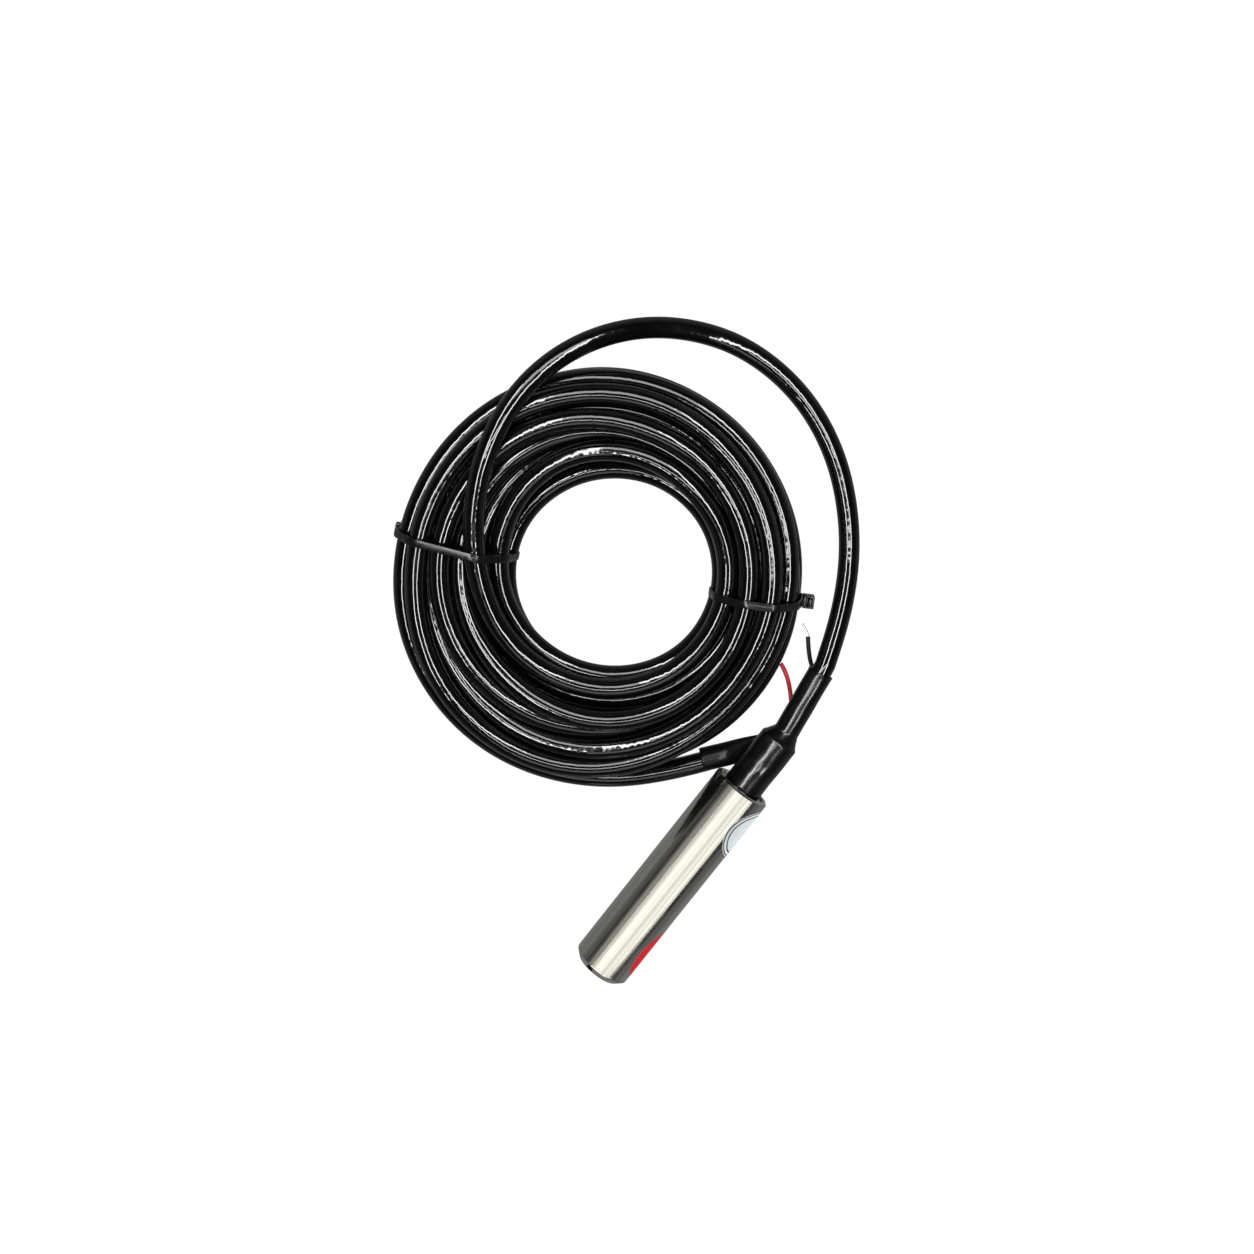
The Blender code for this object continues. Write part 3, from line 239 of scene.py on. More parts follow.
def circle(steps):
    """The angles of that many equal steps round a circle."""
    return 2 * pi * np.arange(steps) / steps


def eased(values, share):
    """Values with each moved a share of the way to the middle of its neighbours."""
    padded = np.concatenate([[2 * values[0] - values[1]], values, [2 * values[-1] - values[-2]]])
    return values + share * ((padded[:-2] + padded[2:]) / 2 - values)


def settle_coil():
    """Wound angles, radii and heights (degrees, mm) of the cable from the loop to the tail.

    Every turn crosses the same upright planes, COIL_STEP apart. The hidden turns settle first:
    in each plane their cuts are discs that push each other a diameter apart, sink, and are drawn
    to their lane, while each turn is eased along its length, as a stiff cable is. The turns that
    show keep their radius and rest on all turns of a lower rank.
    """
    first = np.array(START_TURNS, float)
    last = np.array(LAST_TURNS, float) + (LAST_TURNS_FROM, 0)
    angles = np.arange(first[0, 0], last[-1, 0] + 0.1, COIL_STEP)
    on_first = angles <= first[-1, 0]
    on_last = angles >= last[0, 0]
    hidden = ~on_first & ~on_last
    diameter = CABLE_DIAMETER * 1000
    edge_angles, hole, rim = COIL_EDGES.T
    inner = np.interp(angles % 360, edge_angles, hole) + diameter / 2
    outer = np.interp(angles % 360, edge_angles, rim) - diameter / 2
    turns = (angles - first[-1, 0]) / 360
    lane = inner + (outer - inner) * np.interp(turns, *np.array(HIDDEN_LANES).T)
    wanted = np.where(on_first, np.interp(angles, *first.T),
                      np.where(on_last, np.interp(angles, *last.T), lane))
    for _ in range(4):
        wanted = eased(wanted, 0.5)
    floor = np.full(len(angles), diameter / 2)
    for tie in (TIE_LEFT_ANGLE, TIE_RIGHT_ANGLE):
        off = np.abs((angles + COIL_TURN - tie * 180 / pi + 180) % 360 - 180)
        lift = STRAP_LIFT * np.clip(1 - (off - 2) / 14, 0, 1)
        floor = np.maximum(floor, diameter / 2 + lift * (wanted < LOOP_BEYOND))
    planes = int(360 / COIL_STEP)
    plane = np.round(angles / COIL_STEP).astype(int) % planes
    rows = [np.where(plane == p)[0] for p in range(planes)]
    table = -np.ones((planes, max(len(row) for row in rows)), int)
    for p, row in enumerate(rows):
        table[p, :len(row)] = row
    real = table >= 0
    table = np.where(real, table, 0)
    pair = real[:, :, None] & real[:, None, :] & ~np.eye(table.shape[1], dtype=bool)[None]

    def pairs_of(values):
        """The values of both turns of each pair in a plane."""
        return values[table][:, :, None], values[table][:, None, :]

    both_hidden = pair & np.logical_and(*pairs_of(hidden))
    steps = np.array(RANKS)
    rank = steps[np.searchsorted(steps[:, 0], angles, side="right") - 1, 1].astype(float)
    rank += angles / 10000
    rise, drop = np.array(START_RISE), np.array(LAST_DROP, float) + (LAST_TURNS_FROM, 0)
    held = (angles <= rise[-1, 0]) | (angles >= drop[0, 0])
    traced = held | (angles < TRACED_UNTIL)
    held_height = np.where(angles < LAST_TURNS_FROM, np.interp(angles, *rise.T),
                           np.interp(angles, *drop.T))

    def press(radius, height, pairs, moving, pull, rounds, sink):
        """Sink, pull to the lane, ease and push apart, for a number of rounds."""
        for step in range(rounds):
            share = step / rounds
            force = 1.0 if share < 0.75 else max(0.0, (0.97 - share) / 0.22)
            height = height - sink * force * moving
            radius = radius + pull * force * (wanted - radius)
            if share < 0.97:
                for _ in range(2):
                    height = eased(height, 0.5 if share < 0.9 else 0.25)
                    radius = eased(radius, 0.35 if share < 0.9 else 0.17)
            height = np.where(held, held_height, height)
            radius = np.where(moving & ~traced, radius, wanted)
            for _ in range(3):
                out = np.subtract(*pairs_of(radius)) * narrow
                over = np.subtract(*pairs_of(height))
                apart = np.sqrt(out ** 2 + over ** 2) + 1e-9
                push = np.where(pairs, np.maximum(diameter - apart, 0), 0)
                crowd = 0.5 / np.sqrt(np.maximum((push > 0).sum(2), 1))
                radius[table[real]] += ((push * out / apart).sum(2) * crowd)[real]
                height[table[real]] += ((push * over / apart).sum(2) * crowd)[real]
                height = np.maximum(height, floor)
                radius = np.where(hidden, np.clip(radius, inner, outer), radius)
                radius = np.where(moving & ~traced, radius, wanted)
        return radius, np.where(held, held_height, height)

    slant = 1 / np.sqrt(1 + (np.gradient(wanted) / (radians(COIL_STEP) * wanted)) ** 2)
    narrow = np.minimum(*pairs_of(slant))
    # First guess in mm: hidden turns sink from 24 to 4 at once, then climb 3 a turn
    height = diameter / 2 + turns * 3
    sinking = hidden & (angles < first[-1, 0] + 90)
    height[sinking] = 24.0 - 20.0 * (angles[sinking] - first[-1, 0]) / 90
    height[on_last] = 15.0
    radius, height = press(wanted.copy(), height, both_hidden, hidden, 0.02, SETTLE_ROUNDS, 0.15)

    out = np.abs(np.subtract(*pairs_of(radius))) * narrow
    above = pair & np.greater(*pairs_of(rank)) & ~both_hidden
    reach = np.where(out < CROSSING, np.sqrt(np.maximum(diameter ** 2 - out ** 2, 0)), -99)
    low = np.where(hidden, height, floor)
    height = low.copy()
    for _ in range(12):
        rest = np.where(above, height[table][:, None, :] + reach, -99).max(2)
        height[table[real]] = np.maximum(height[table[real]], rest[real])
    height = np.where(held, held_height, height)
    everything = np.ones(len(angles), bool)
    pull = np.where(hidden, 0.02, 0.45)
    radius, height = press(radius, height, pair, everything, pull, REST_ROUNDS, 0.06)
    return angles, radius, height


def lengths_along(points):
    """How far each point lies along the way through them all."""
    return np.concatenate([[0], np.cumsum(np.linalg.norm(np.diff(points, axis=0), axis=1))])


def fine_curve(points, spacing):
    """Points about that far apart on a Catmull-Rom curve through the given ones.

    Between two points it is the cubic whose slope at each is half the way from the point before
    to the point after.
    """
    points = np.asarray(points, float)
    ends = np.vstack([2 * points[0] - points[1], points, 2 * points[-1] - points[-2]])
    before, start, end, after = (ends[k:len(ends) - 3 + k, None] for k in range(4))
    t = (np.arange(12) / 12)[:, None]
    dense = 0.5 * (2 * start + (end - before) * t
                   + (2 * before - 5 * start + 4 * end - after) * t ** 2
                   + (3 * start - before - 3 * end + after) * t ** 3)
    dense = np.vstack([dense.reshape(-1, 3), points[-1:]])
    along = lengths_along(dense)
    wanted = np.linspace(0, along[-1], max(int(along[-1] / spacing), 2) + 1)
    return np.stack([np.interp(wanted, along, dense[:, k]) for k in range(3)], axis=1)


def boot_axis(distances):
    """Points on the boot's centre line, and its directions, at distances behind the housing.

    It runs straight back, then round an arc of BOOT_BEND, then straight on.
    """
    distances = np.atleast_1d(np.asarray(distances, float))
    angle = np.clip((distances - BOOT_BEND_START) / BOOT_BEND_RADIUS, 0, BOOT_BEND)
    after = np.maximum(distances - BOOT_BEND_START - BOOT_BEND_RADIUS * BOOT_BEND, 0)
    back = (np.minimum(distances, BOOT_BEND_START) + BOOT_BEND_RADIUS * np.sin(angle)
            + after * cos(BOOT_BEND))
    aside = BOOT_BEND_RADIUS * (1 - np.cos(angle)) + after * sin(BOOT_BEND)
    spots = np.stack([REAR_X - back, -aside, np.full(len(back), AXIS_HEIGHT)], axis=1)
    return spots, np.stack([-np.cos(angle), -np.sin(angle), np.zeros(len(back))], axis=1)


def frames_along(path):
    """A direction, a side and an up vector at each point; the side is carried without twist."""
    ahead = np.gradient(path, axis=0)
    ahead /= np.linalg.norm(ahead, axis=1)[:, None]
    side = np.cross(ahead[0], (0, 0, 1.0))
    sides = []
    for direction in ahead:
        side = side - direction * side.dot(direction)
        side = side / np.linalg.norm(side)
        sides.append(side)
    sides = np.array(sides)
    return ahead, sides, np.cross(sides, ahead)


def tube_rings(path, radii, sides):
    """Rings round a path: each point plus its radius times cos(turn) side + sin(turn) up.

    radii is one number, one for each ring, or one for each vertex.
    """
    _, side, up = frames_along(path)
    turn = circle(sides)[None, :, None]
    radii = np.asarray(radii, float)
    radii = radii.reshape(-1, 1) if radii.ndim < 2 else radii
    radii = np.broadcast_to(radii, (len(path), sides))[:, :, None]
    return path[:, None] + radii * (side[:, None] * np.cos(turn) + up[:, None] * np.sin(turn))


def ring_faces(count, sides, closed=False):
    """Quads between neighbouring rings, as an array of vertex numbers."""
    last = count if closed else count - 1
    here = np.arange(last)[:, None] * sides
    there = (np.arange(1, last + 1) % count)[:, None] * sides
    corner = np.arange(sides)[None, :]
    following = (corner + 1) % sides
    faces = [here + corner, here + following, there + following, there + corner]
    return np.stack(faces, axis=2).reshape(-1, 4)


def new_mesh(name, vertices, faces):
    mesh = bpy.data.meshes.new(name)
    mesh.from_pydata(np.reshape(vertices, (-1, 3)).tolist(), [], faces)
    return mesh


def ring_mesh(name, rings, made_of, closed=False, caps=True):
    """A mesh over rings of points, with a UV of (metres along, share around)."""
    rings = np.asarray(rings, float)
    count, sides = rings.shape[:2]
    faces = ring_faces(count, sides, closed).tolist()
    last = count if closed else count - 1
    along = lengths_along(rings.mean(axis=1))
    along = np.append(along, along[-1] + 0.001)
    around = np.arange(sides + 1) / sides
    uvs = np.zeros((last, sides, 4, 2))
    uvs[:, :, :2, 0] = along[:last, None, None]
    uvs[:, :, 2:, 0] = along[1:last + 1, None, None]
    uvs[:, :, (0, 3), 1] = around[None, :-1, None]
    uvs[:, :, (1, 2), 1] = around[None, 1:, None]
    uvs = uvs.ravel().tolist()
    if caps and not closed:
        faces += [list(range(sides))[::-1], list(range((count - 1) * sides, count * sides))]
        uvs += [along[0], 0.5] * sides + [along[count - 1], 0.5] * sides
    mesh = new_mesh(name, rings, faces)
    mesh.uv_layers.new(name="UVMap").data.foreach_set("uv", uvs)
    turn_outwards(mesh)
    return finished(name, mesh, made_of)


def turn_outwards(mesh):
    """Turn each face so that it looks outwards."""
    shape = bmesh.new()
    shape.from_mesh(mesh)
    bmesh.ops.recalc_face_normals(shape, faces=shape.faces)
    shape.to_mesh(mesh)
    shape.free()


def finished(name, mesh, made_of, sharp=radians(38)):
    """An object of a mesh, shaded smooth up to a sharp angle, with its material."""
    mesh.shade_smooth()
    mesh.set_sharp_from_angle(angle=sharp)
    obj = add_object(name, mesh)
    mesh.materials.append(made_of)
    return obj


def stands_for(piece, slot, *nodes):
    """Give a piece its body and hide the CAD nodes that it replaces; the slot is not used."""
    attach(piece, "root")
    if nodes:
        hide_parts(*nodes)
    return piece


def add_node(tree, kind, inputs=None, **settings):
    """A new node in a tree. Each input is a plain value, or the socket that feeds it."""
    made = tree.nodes.new(kind)
    for key, value in settings.items():
        setattr(made, key, value)
    for key, value in (inputs or {}).items():
        if isinstance(value, bpy.types.NodeSocket):
            tree.links.new(value, made.inputs[key])
        else:
            made.inputs[key].default_value = value
    return made


class Paint:
    """A material with a Principled shader, and short calls for its nodes."""

    def __init__(self, name, colour, roughness, metallic=0.0, **sockets):
        self.made = bpy.data.materials.new(name)
        self.made.use_nodes = True
        self.tree = self.made.node_tree
        self.shader = self.tree.nodes["Principled BSDF"]
        self.set("Base Color", (*colour, 1.0))
        self.set("Roughness", roughness)
        self.set("Metallic", metallic)
        for socket, value in sockets.items():
            self.set(socket.replace("_", " "), value)
        self.made.diffuse_color = (*colour, 1.0)
        self.height = None
        self.bump = None

    def set(self, socket, value):
        self.shader.inputs[socket].default_value = value

    def node(self, kind, inputs=None, **settings):
        return add_node(self.tree, kind, inputs, **settings)

    def place(self, scale=(1, 1, 1), shift=(0, 0, 0), uv=False):
        """Object coordinates, or the UV, stretched by three factors and then shifted."""
        source = self.node("ShaderNodeTexCoord").outputs["UV" if uv else "Object"]
        mapping = self.node("ShaderNodeMapping", {"Vector": source, "Scale": scale,
                                                  "Location": shift})
        return mapping.outputs["Vector"]

    def gloss(self, place, scale, detail, least, most):
        """Roughness that varies from least to most; gives the mask that it follows."""
        made = self.node("ShaderNodeGroup", {
            "Vector": place, "Scale": scale, "Detail": detail, "Least": least, "Most": most},
            node_tree=UNEVEN_GLOSS)
        self.into("Roughness", made.outputs["Roughness"])
        return made.outputs["Mask"]

    def relief(self, place, scale, detail, depth, low=0.0, high=1.0):
        """Raise the surface by a noise; each call adds its height to those before."""
        made = self.node("ShaderNodeGroup", {
            "Vector": place, "Scale": scale, "Detail": detail, "Low": low, "High": high,
            "Depth": depth}, node_tree=FINE_RELIEF)
        height = made.outputs["Height"]
        if self.height is not None:
            height = self.node("ShaderNodeMath", {0: self.height, 1: height}).outputs[0]
        self.height = height
        if self.bump is None:
            self.bump = self.node("ShaderNodeBump", {"Distance": 1.0})
            self.into("Normal", self.bump.outputs["Normal"])
        self.tree.links.new(height, self.bump.inputs["Height"])
        return made.outputs["Mask"]

    def between(self, value, low, high, start=0.35, end=0.65):
        """A value spread from start..end to low..high."""
        ranged = self.node("ShaderNodeMapRange", {
            "Value": value, "From Min": start, "From Max": end, "To Min": low, "To Max": high})
        return ranged.outputs["Result"]

    def mix(self, share, first, second):
        """Two colours mixed by a share; each is a colour or a socket."""
        first, second = ((*c, 1.0) if isinstance(c, tuple) else c for c in (first, second))
        return self.node("ShaderNodeMix", {"Factor": share, 6: first, 7: second},
                         data_type="RGBA").outputs[2]

    def into(self, socket, value):
        self.tree.links.new(value, self.shader.inputs[socket])


def node_group(name, inputs, outputs):
    """An empty shader node group with named sockets, and its two end nodes."""
    group = bpy.data.node_groups.new(name, "ShaderNodeTree")
    for socket in inputs:
        kind = "NodeSocketVector" if socket == "Vector" else "NodeSocketFloat"
        group.interface.new_socket(socket, in_out="INPUT", socket_type=kind)
    for socket in outputs:
        group.interface.new_socket(socket, in_out="OUTPUT", socket_type="NodeSocketFloat")
    return group, group.nodes.new("NodeGroupInput"), group.nodes.new("NodeGroupOutput")


def noise_group(name, inputs, spreads):
    """A group with one noise that is spread from a range of values to others.

    Each spread is an output with its four limits: names of group inputs, or plain numbers.
    """
    group, given, result = node_group(name, ("Vector", "Scale", "Detail", *inputs), spreads)
    noise = add_node(group, "ShaderNodeTexNoise", {
        "Roughness": 0.55, **{key: given.outputs[key] for key in ("Vector", "Scale", "Detail")}})
    for output, limits in spreads.items():
        ends = [given.outputs[end] if isinstance(end, str) else end for end in limits]
        ranged = add_node(group, "ShaderNodeMapRange", {
            "Value": noise.outputs["Fac"],
            **dict(zip(("From Min", "From Max", "To Min", "To Max"), ends))})
        group.links.new(ranged.outputs["Result"], result.inputs[output])
    return group


UNEVEN_GLOSS = noise_group("uneven_gloss", ("Least", "Most"), {
    "Roughness": (0.35, 0.65, "Least", "Most"), "Mask": (0.35, 0.65, 0.0, 1.0)})
FINE_RELIEF = noise_group("fine_relief", ("Low", "High", "Depth"), {
    "Height": ("Low", "High", 0.0, "Depth"), "Mask": ("Low", "High", 0.0, 1.0)})


def cable_jacket():
    """Extruded black polyurethane: glossy, a little uneven, with fine scuffs along it."""
    paint = Paint("cable_jacket", (0.002, 0.002, 0.0024), 0.10)
    paint.set("IOR", 1.48)
    paint.relief(paint.place((150, 2.2, 1), uv=True), 1.0, 2.0, 0.00012, 0.25, 0.75)
    paint.relief(paint.place((60, 60, 1), uv=True), 1.0, 3.0, 0.000005)
    scuffs = paint.gloss(paint.place((90, 9, 1), uv=True), 1.0, 5.0, 0.06, 0.13)
    paint.into("Base Color", paint.mix(scuffs, (0.0008, 0.0008, 0.0009), (0.0016, 0.0016, 0.0018)))
    return paint.made


def heat_shrink(name="heat_shrink", least=0.17, most=0.22, ior=1.42):
    """Shrunk polyolefin: satin black with soft puckers."""
    paint = Paint(name, (0.003, 0.003, 0.0034), 0.20)
    paint.set("IOR", ior)
    paint.relief(paint.place((0.8, 1, 1)), 55, 0.0, 0.00008, 0.3, 0.7)
    worn = paint.gloss(paint.place(), 160, 3.0, least, most)
    paint.into("Base Color", paint.mix(worn, (0.0012, 0.0012, 0.0014), (0.0022, 0.0022, 0.0024)))
    return paint.made


def steel(name="turned_steel", colour=(0.66, 0.65, 0.61), least=0.16, most=0.22,
          stretch=(2, 650, 650)):
    """Drawn and polished steel: fine lines along the tube, faint smudges.

    With no stretch the lines are rings round the probe's axis, as on a faced end: the noise then
    runs over the distance from the axis.
    """
    paint = Paint(name, colour, 0.2, 1.0)
    if stretch:
        place = paint.place(stretch)
        scale = 1.0
    else:
        place = paint.place((0, 1, 1), (0, 0, -AXIS_HEIGHT))
        reach = paint.node("ShaderNodeVectorMath", {0: place}, operation="LENGTH").outputs["Value"]
        place = paint.node("ShaderNodeCombineXYZ", {"X": reach}).outputs["Vector"]
        scale = 1800
    lines = paint.relief(place, scale, 2.0, 0.000014 if stretch else 0.000004, 0.36, 0.56)
    paint.gloss(paint.place(), 90, 2.0, least, most)
    paint.into("Base Color", paint.mix(lines, tuple(c * 0.66 for c in colour), colour))
    return paint.made


def plastic(name, colour, roughness, grain=1800, deep=0.00001, spread=0.18, gloss=0.5):
    """Moulded plastic or rubber with a fine skin and uneven gloss."""
    paint = Paint(name, colour, roughness)
    paint.set("Specular IOR Level", gloss)
    place = paint.place()
    paint.relief(place, grain, 3.0, deep)
    patches = paint.gloss(place, grain / 6, 4.0, roughness * (1 - spread), roughness * (1 + spread))
    paint.into("Base Color", paint.mix(patches, tuple(c * 0.78 for c in colour), colour))
    return paint.made


def tinned():
    """Tinned copper strands."""
    paint = Paint("tinned_copper", (0.72, 0.71, 0.69), 0.3, 1.0)
    cloud = paint.gloss(paint.place(), 1500, 4.0, 0.22, 0.42)
    paint.into("Base Color", paint.mix(cloud, (0.60, 0.56, 0.50), (0.80, 0.79, 0.77)))
    return paint.made


def film(name, colour, lines=()):
    """A film label, bare but for border lines at shares of the way from its middle to its rim."""
    paint = Paint(name, colour, 0.3, 0.0)
    paint.set("Specular IOR Level", 0.12)
    speck = paint.gloss(paint.place(), 500, 2.0, 0.24, 0.4)
    shade = paint.mix(speck, tuple(c * 0.93 for c in colour), colour)
    if lines:
        source = paint.node("ShaderNodeTexCoord").outputs["UV"]
        share = paint.node("ShaderNodeSeparateXYZ", {"Vector": source}).outputs["X"]
    for start, end in lines:
        middle, half = (start + end) / 2, (end - start) / 2
        off = paint.node("ShaderNodeMath", {0: share, 1: middle}, operation="SUBTRACT").outputs[0]
        off = paint.node("ShaderNodeMath", {0: off}, operation="ABSOLUTE").outputs[0]
        inside = paint.between(off, 1, 0, half * 0.8, half * 1.2)
        shade = paint.mix(inside, shade, (0.02, 0.022, 0.022))
    paint.into("Base Color", shade)
    return paint.made


JACKET = cable_jacket()
SHRINK = heat_shrink()
DULL_SHRINK = heat_shrink("dull_heat_shrink", 0.24, 0.30, 1.22)
STEEL = steel()
FACED_STEEL = steel("faced_steel", stretch=None)
CELL_STEEL = steel("cell_steel", (0.70, 0.70, 0.69), 0.18, 0.3, (700, 700, 700))
NYLON = plastic("black_nylon", (0.003, 0.003, 0.0034), 0.20, deep=0.000002, gloss=0.22)
RED = plastic("red_insulation", (0.27, 0.009, 0.012), 0.40, deep=0.000001, gloss=0.2)
BLACK = plastic("black_insulation", (0.004, 0.004, 0.0045), 0.5, deep=0.000001, gloss=0.15)
TINNED = tinned()
RUBBER = plastic("black_rubber", (0.015, 0.015, 0.016), 0.6, 2400, 0.00002)


def coil_point(angle, radius, height):
    """A point of the coil in metres, from its wound angle (degrees), radius and height (mm)."""
    turn = np.radians(angle + COIL_TURN)
    return np.stack([COIL_CENTRE[0] + radius * np.cos(turn) / 1000,
                     COIL_CENTRE[1] + radius * np.sin(turn) / 1000, height / 1000], axis=-1)


ANGLES, RADII, HEIGHTS = settle_coil()


def make_cable():
    """The one cable from the boot's end to inside the sleeve, wound as settle_coil says."""
    (end,), (direction,) = boot_axis(BOOT_LENGTH)
    out = [end + direction * step for step in (-0.003, 0.0, 0.003)]
    wound = coil_point(ANGLES, RADII, HEIGHTS)
    tail = [(x, y, 0.00445) for x, y in SLEEVE_ROUTE[:3]]
    loop = coil_point(*np.array(LOOP_TURN).T)
    path = fine_curve(np.vstack([out, loop, wound, tail]), 0.0021)
    for _ in range(24):
        path[4:-8] = eased(path, 0.5)[4:-8]
    cable = ring_mesh("cable", tube_rings(path, CABLE_RADIUS, 20), JACKET)
    stands_for(cable, "cable_jacket", "cable_loop", "cable_coil", "cable_tail")
    return cable, path, tuple(end.tolist())


CABLE, CABLE_PATH, CABLE_EXIT = make_cable()


def make_sleeve():
    """The heat-shrink sleeve: round on the cable, pressed flat where it lies under the boot.

    Each ring stands across the route: half the width times cos(turn) to a power below 1, which
    squares the flat part's sides, and half the height times 1 + sin(turn), which rests it low.
    """
    count, sides, round_height = 64, 40, SLEEVE_HEIGHTS[0]
    share = np.linspace(0, len(SLEEVE_ROUTE) - 1, count)
    route = fine_curve([(x, y, 0) for x, y in SLEEVE_ROUTE], 0.0004)
    spots = np.linspace(0, len(route) - 1, count)
    x, y = (np.interp(spots, np.arange(len(route)), route[:, k]) for k in (0, 1))
    high, wide = (np.interp(share, np.arange(len(row)), row)
                  for row in (SLEEVE_HEIGHTS, SLEEVE_WIDTHS))
    for _ in range(6):
        high, wide = eased(high, 0.6), eased(wide, 0.6)
    lip = np.clip(np.arange(count) / 2, 0, 1)
    high, wide = high * (0.97 + 0.03 * lip), wide * (0.97 + 0.03 * lip)
    turn = circle(sides)
    ahead = np.stack([np.gradient(x), np.gradient(y)], axis=1)
    ahead /= np.linalg.norm(ahead, axis=1)[:, None]
    flat = 1 - 0.35 * np.clip((round_height - high) / 0.0058, 0, 1)[:, None]
    across = np.sign(np.cos(turn)) * np.abs(np.cos(turn)) ** flat * wide[:, None] / 2
    rings = np.stack([x[:, None] + ahead[:, 1:] * across, y[:, None] - ahead[:, :1] * across,
                      high[:, None] / 2 * (1 + np.sin(turn)) + 0.00006], axis=2)
    sleeve = ring_mesh("tail_sleeve_film", rings, DULL_SHRINK)
    return stands_for(sleeve, "heat_shrink", "tail_sleeve")


SLEEVE = make_sleeve()


def make_core(colour, route, tip_route, paint):
    """An insulated core, and its bare end: one straight strand and six in a helix round it."""
    name = f"core_{colour}_lead"
    path = fine_curve(route, 0.0005)
    radii = np.full(len(path), CORE_RADIUS)
    radii[-1] *= 0.93
    core = ring_mesh(name, tube_rings(path, radii, 14), paint)
    stands_for(core, f"{colour}_insulation", f"core_{colour}")
    line = fine_curve(tip_route, 0.00015)
    _, side, up = frames_along(line)
    strand, helix, lay = 0.00013, 0.00026, 0.0042
    along = lengths_along(line)
    vertices, faces = [], []
    for k in range(7):
        turn = 2 * pi * (along / lay + k / 6)
        reach = helix if k < 6 else 0.0
        strand_path = line + reach * (side * np.cos(turn)[:, None] + up * np.sin(turn)[:, None])
        rings = tube_rings(strand_path[:len(line) - (k * 5) % 4], strand, 7)
        base, (count, sides) = len(vertices), rings.shape[:2]
        vertices += rings.reshape(-1, 3).tolist()
        faces += (ring_faces(count, sides) + base).tolist()
        faces += [list(range(base, base + sides))[::-1],
                  list(range(base + (count - 1) * sides, base + count * sides))]
    mesh = new_mesh(name + "_strands", vertices, faces)
    turn_outwards(mesh)
    strands = finished(name + "_strands", mesh, TINNED, radians(60))
    stands_for(strands, "tinned_copper", f"tip_{colour}")
    return core, strands, path


RED_CORE = make_core("red", RED_CORE_ROUTE, RED_TIP_ROUTE, RED)
BLACK_CORE = make_core("black", BLACK_CORE_ROUTE, BLACK_TIP_ROUTE, BLACK)


def hull_of(points):
    """Corners of the convex hull, in turn: the furthest point in each of 1440 directions."""
    turn = circle(1440)
    furthest = (points @ np.stack([np.cos(turn), np.sin(turn)])).argmax(axis=0)
    return points[furthest[furthest != np.roll(furthest, 1)]]


def make_tie(side, angle, head_size, level):
    """A nylon tie drawn tight round the turns: strap, ratchet head and cut tail.

    The strap's line is the convex hull of circles round the cuts of all turns that it crosses, and
    its cut is a rectangle with rounded corners and a ribbed outer side.
    """
    name = f"tie_strap_{side}"
    turn = np.degrees(angle) - COIL_TURN
    off = (ANGLES - turn + 180) % 360 - 180
    crosses = np.where((off[:-1] <= 0) & (off[1:] > 0) & (np.diff(off) < 20))[0]
    share = -off[crosses] / (off[crosses + 1] - off[crosses])
    cut_r, cut_z = (row[crosses] + (row[crosses + 1] - row[crosses]) * share
                    for row in (RADII, HEIGHTS))
    in_coil = cut_r < LOOP_BEYOND
    around = circle(48)
    reach = CABLE_RADIUS * 1000 + STRAP_STANDOFF
    spots = np.stack([cut_r[in_coil, None] + reach * np.cos(around),
                      cut_z[in_coil, None] + reach * np.sin(around)], axis=2).reshape(-1, 2)
    hull = hull_of(spots) / 1000
    loop = np.vstack([hull, hull[:1]])
    along = lengths_along(loop)
    count = int(along[-1] / 0.0007)
    at = np.linspace(0, along[-1], count, endpoint=False)
    line = np.stack([np.interp(at, along, loop[:, k]) for k in (0, 1)], axis=1)
    for _ in range(2):
        line = (np.roll(line, 1, 0) + 2 * line + np.roll(line, -1, 0)) / 4
    line[:, 1] = np.maximum(line[:, 1], 0.00066)
    ahead = np.roll(line, -1, 0) - np.roll(line, 1, 0)
    ahead /= np.linalg.norm(ahead, axis=1)[:, None]
    out = np.stack([ahead[:, 1], -ahead[:, 0]], axis=1)
    half_w, half_t, corner = STRAP_WIDTH / 2, 0.00055, 0.0003
    turns = (np.arange(4)[:, None] + (0.15, 0.5, 0.85)).ravel() * pi / 2
    wide = np.sign(np.cos(turns)) * (half_w - corner) + corner * np.cos(turns)
    thick = np.sign(np.sin(turns)) * (half_t - corner) + corner * np.sin(turns)
    ribbed = (np.arange(len(line)) % 2)[:, None] * ((thick > 0) & (np.abs(wide) < half_w * 0.7))
    thick = thick - 0.00003 * ribbed
    radial = np.array((cos(angle), sin(angle), 0))
    across = np.array((-sin(angle), cos(angle), 0))
    centre = np.array((*COIL_CENTRE, 0))
    rings = (centre + radial * (line[:, :1] + out[:, :1] * thick)[:, :, None]
             + across * wide[None, :, None]
             + np.array((0, 0, 1)) * (line[:, 1:] + out[:, 1:] * thick)[:, :, None])
    strap = ring_mesh(name, rings, NYLON, closed=True)
    stands_for(strap, "black_nylon", f"cable_tie_{side}")
    near = line[np.abs(line[:, 1] - level) < 0.002][:, 0].max()
    head = tie_head(name + "_head", head_size, centre, radial, across, near, level)
    stands_for(head, "black_nylon")
    return strap, head


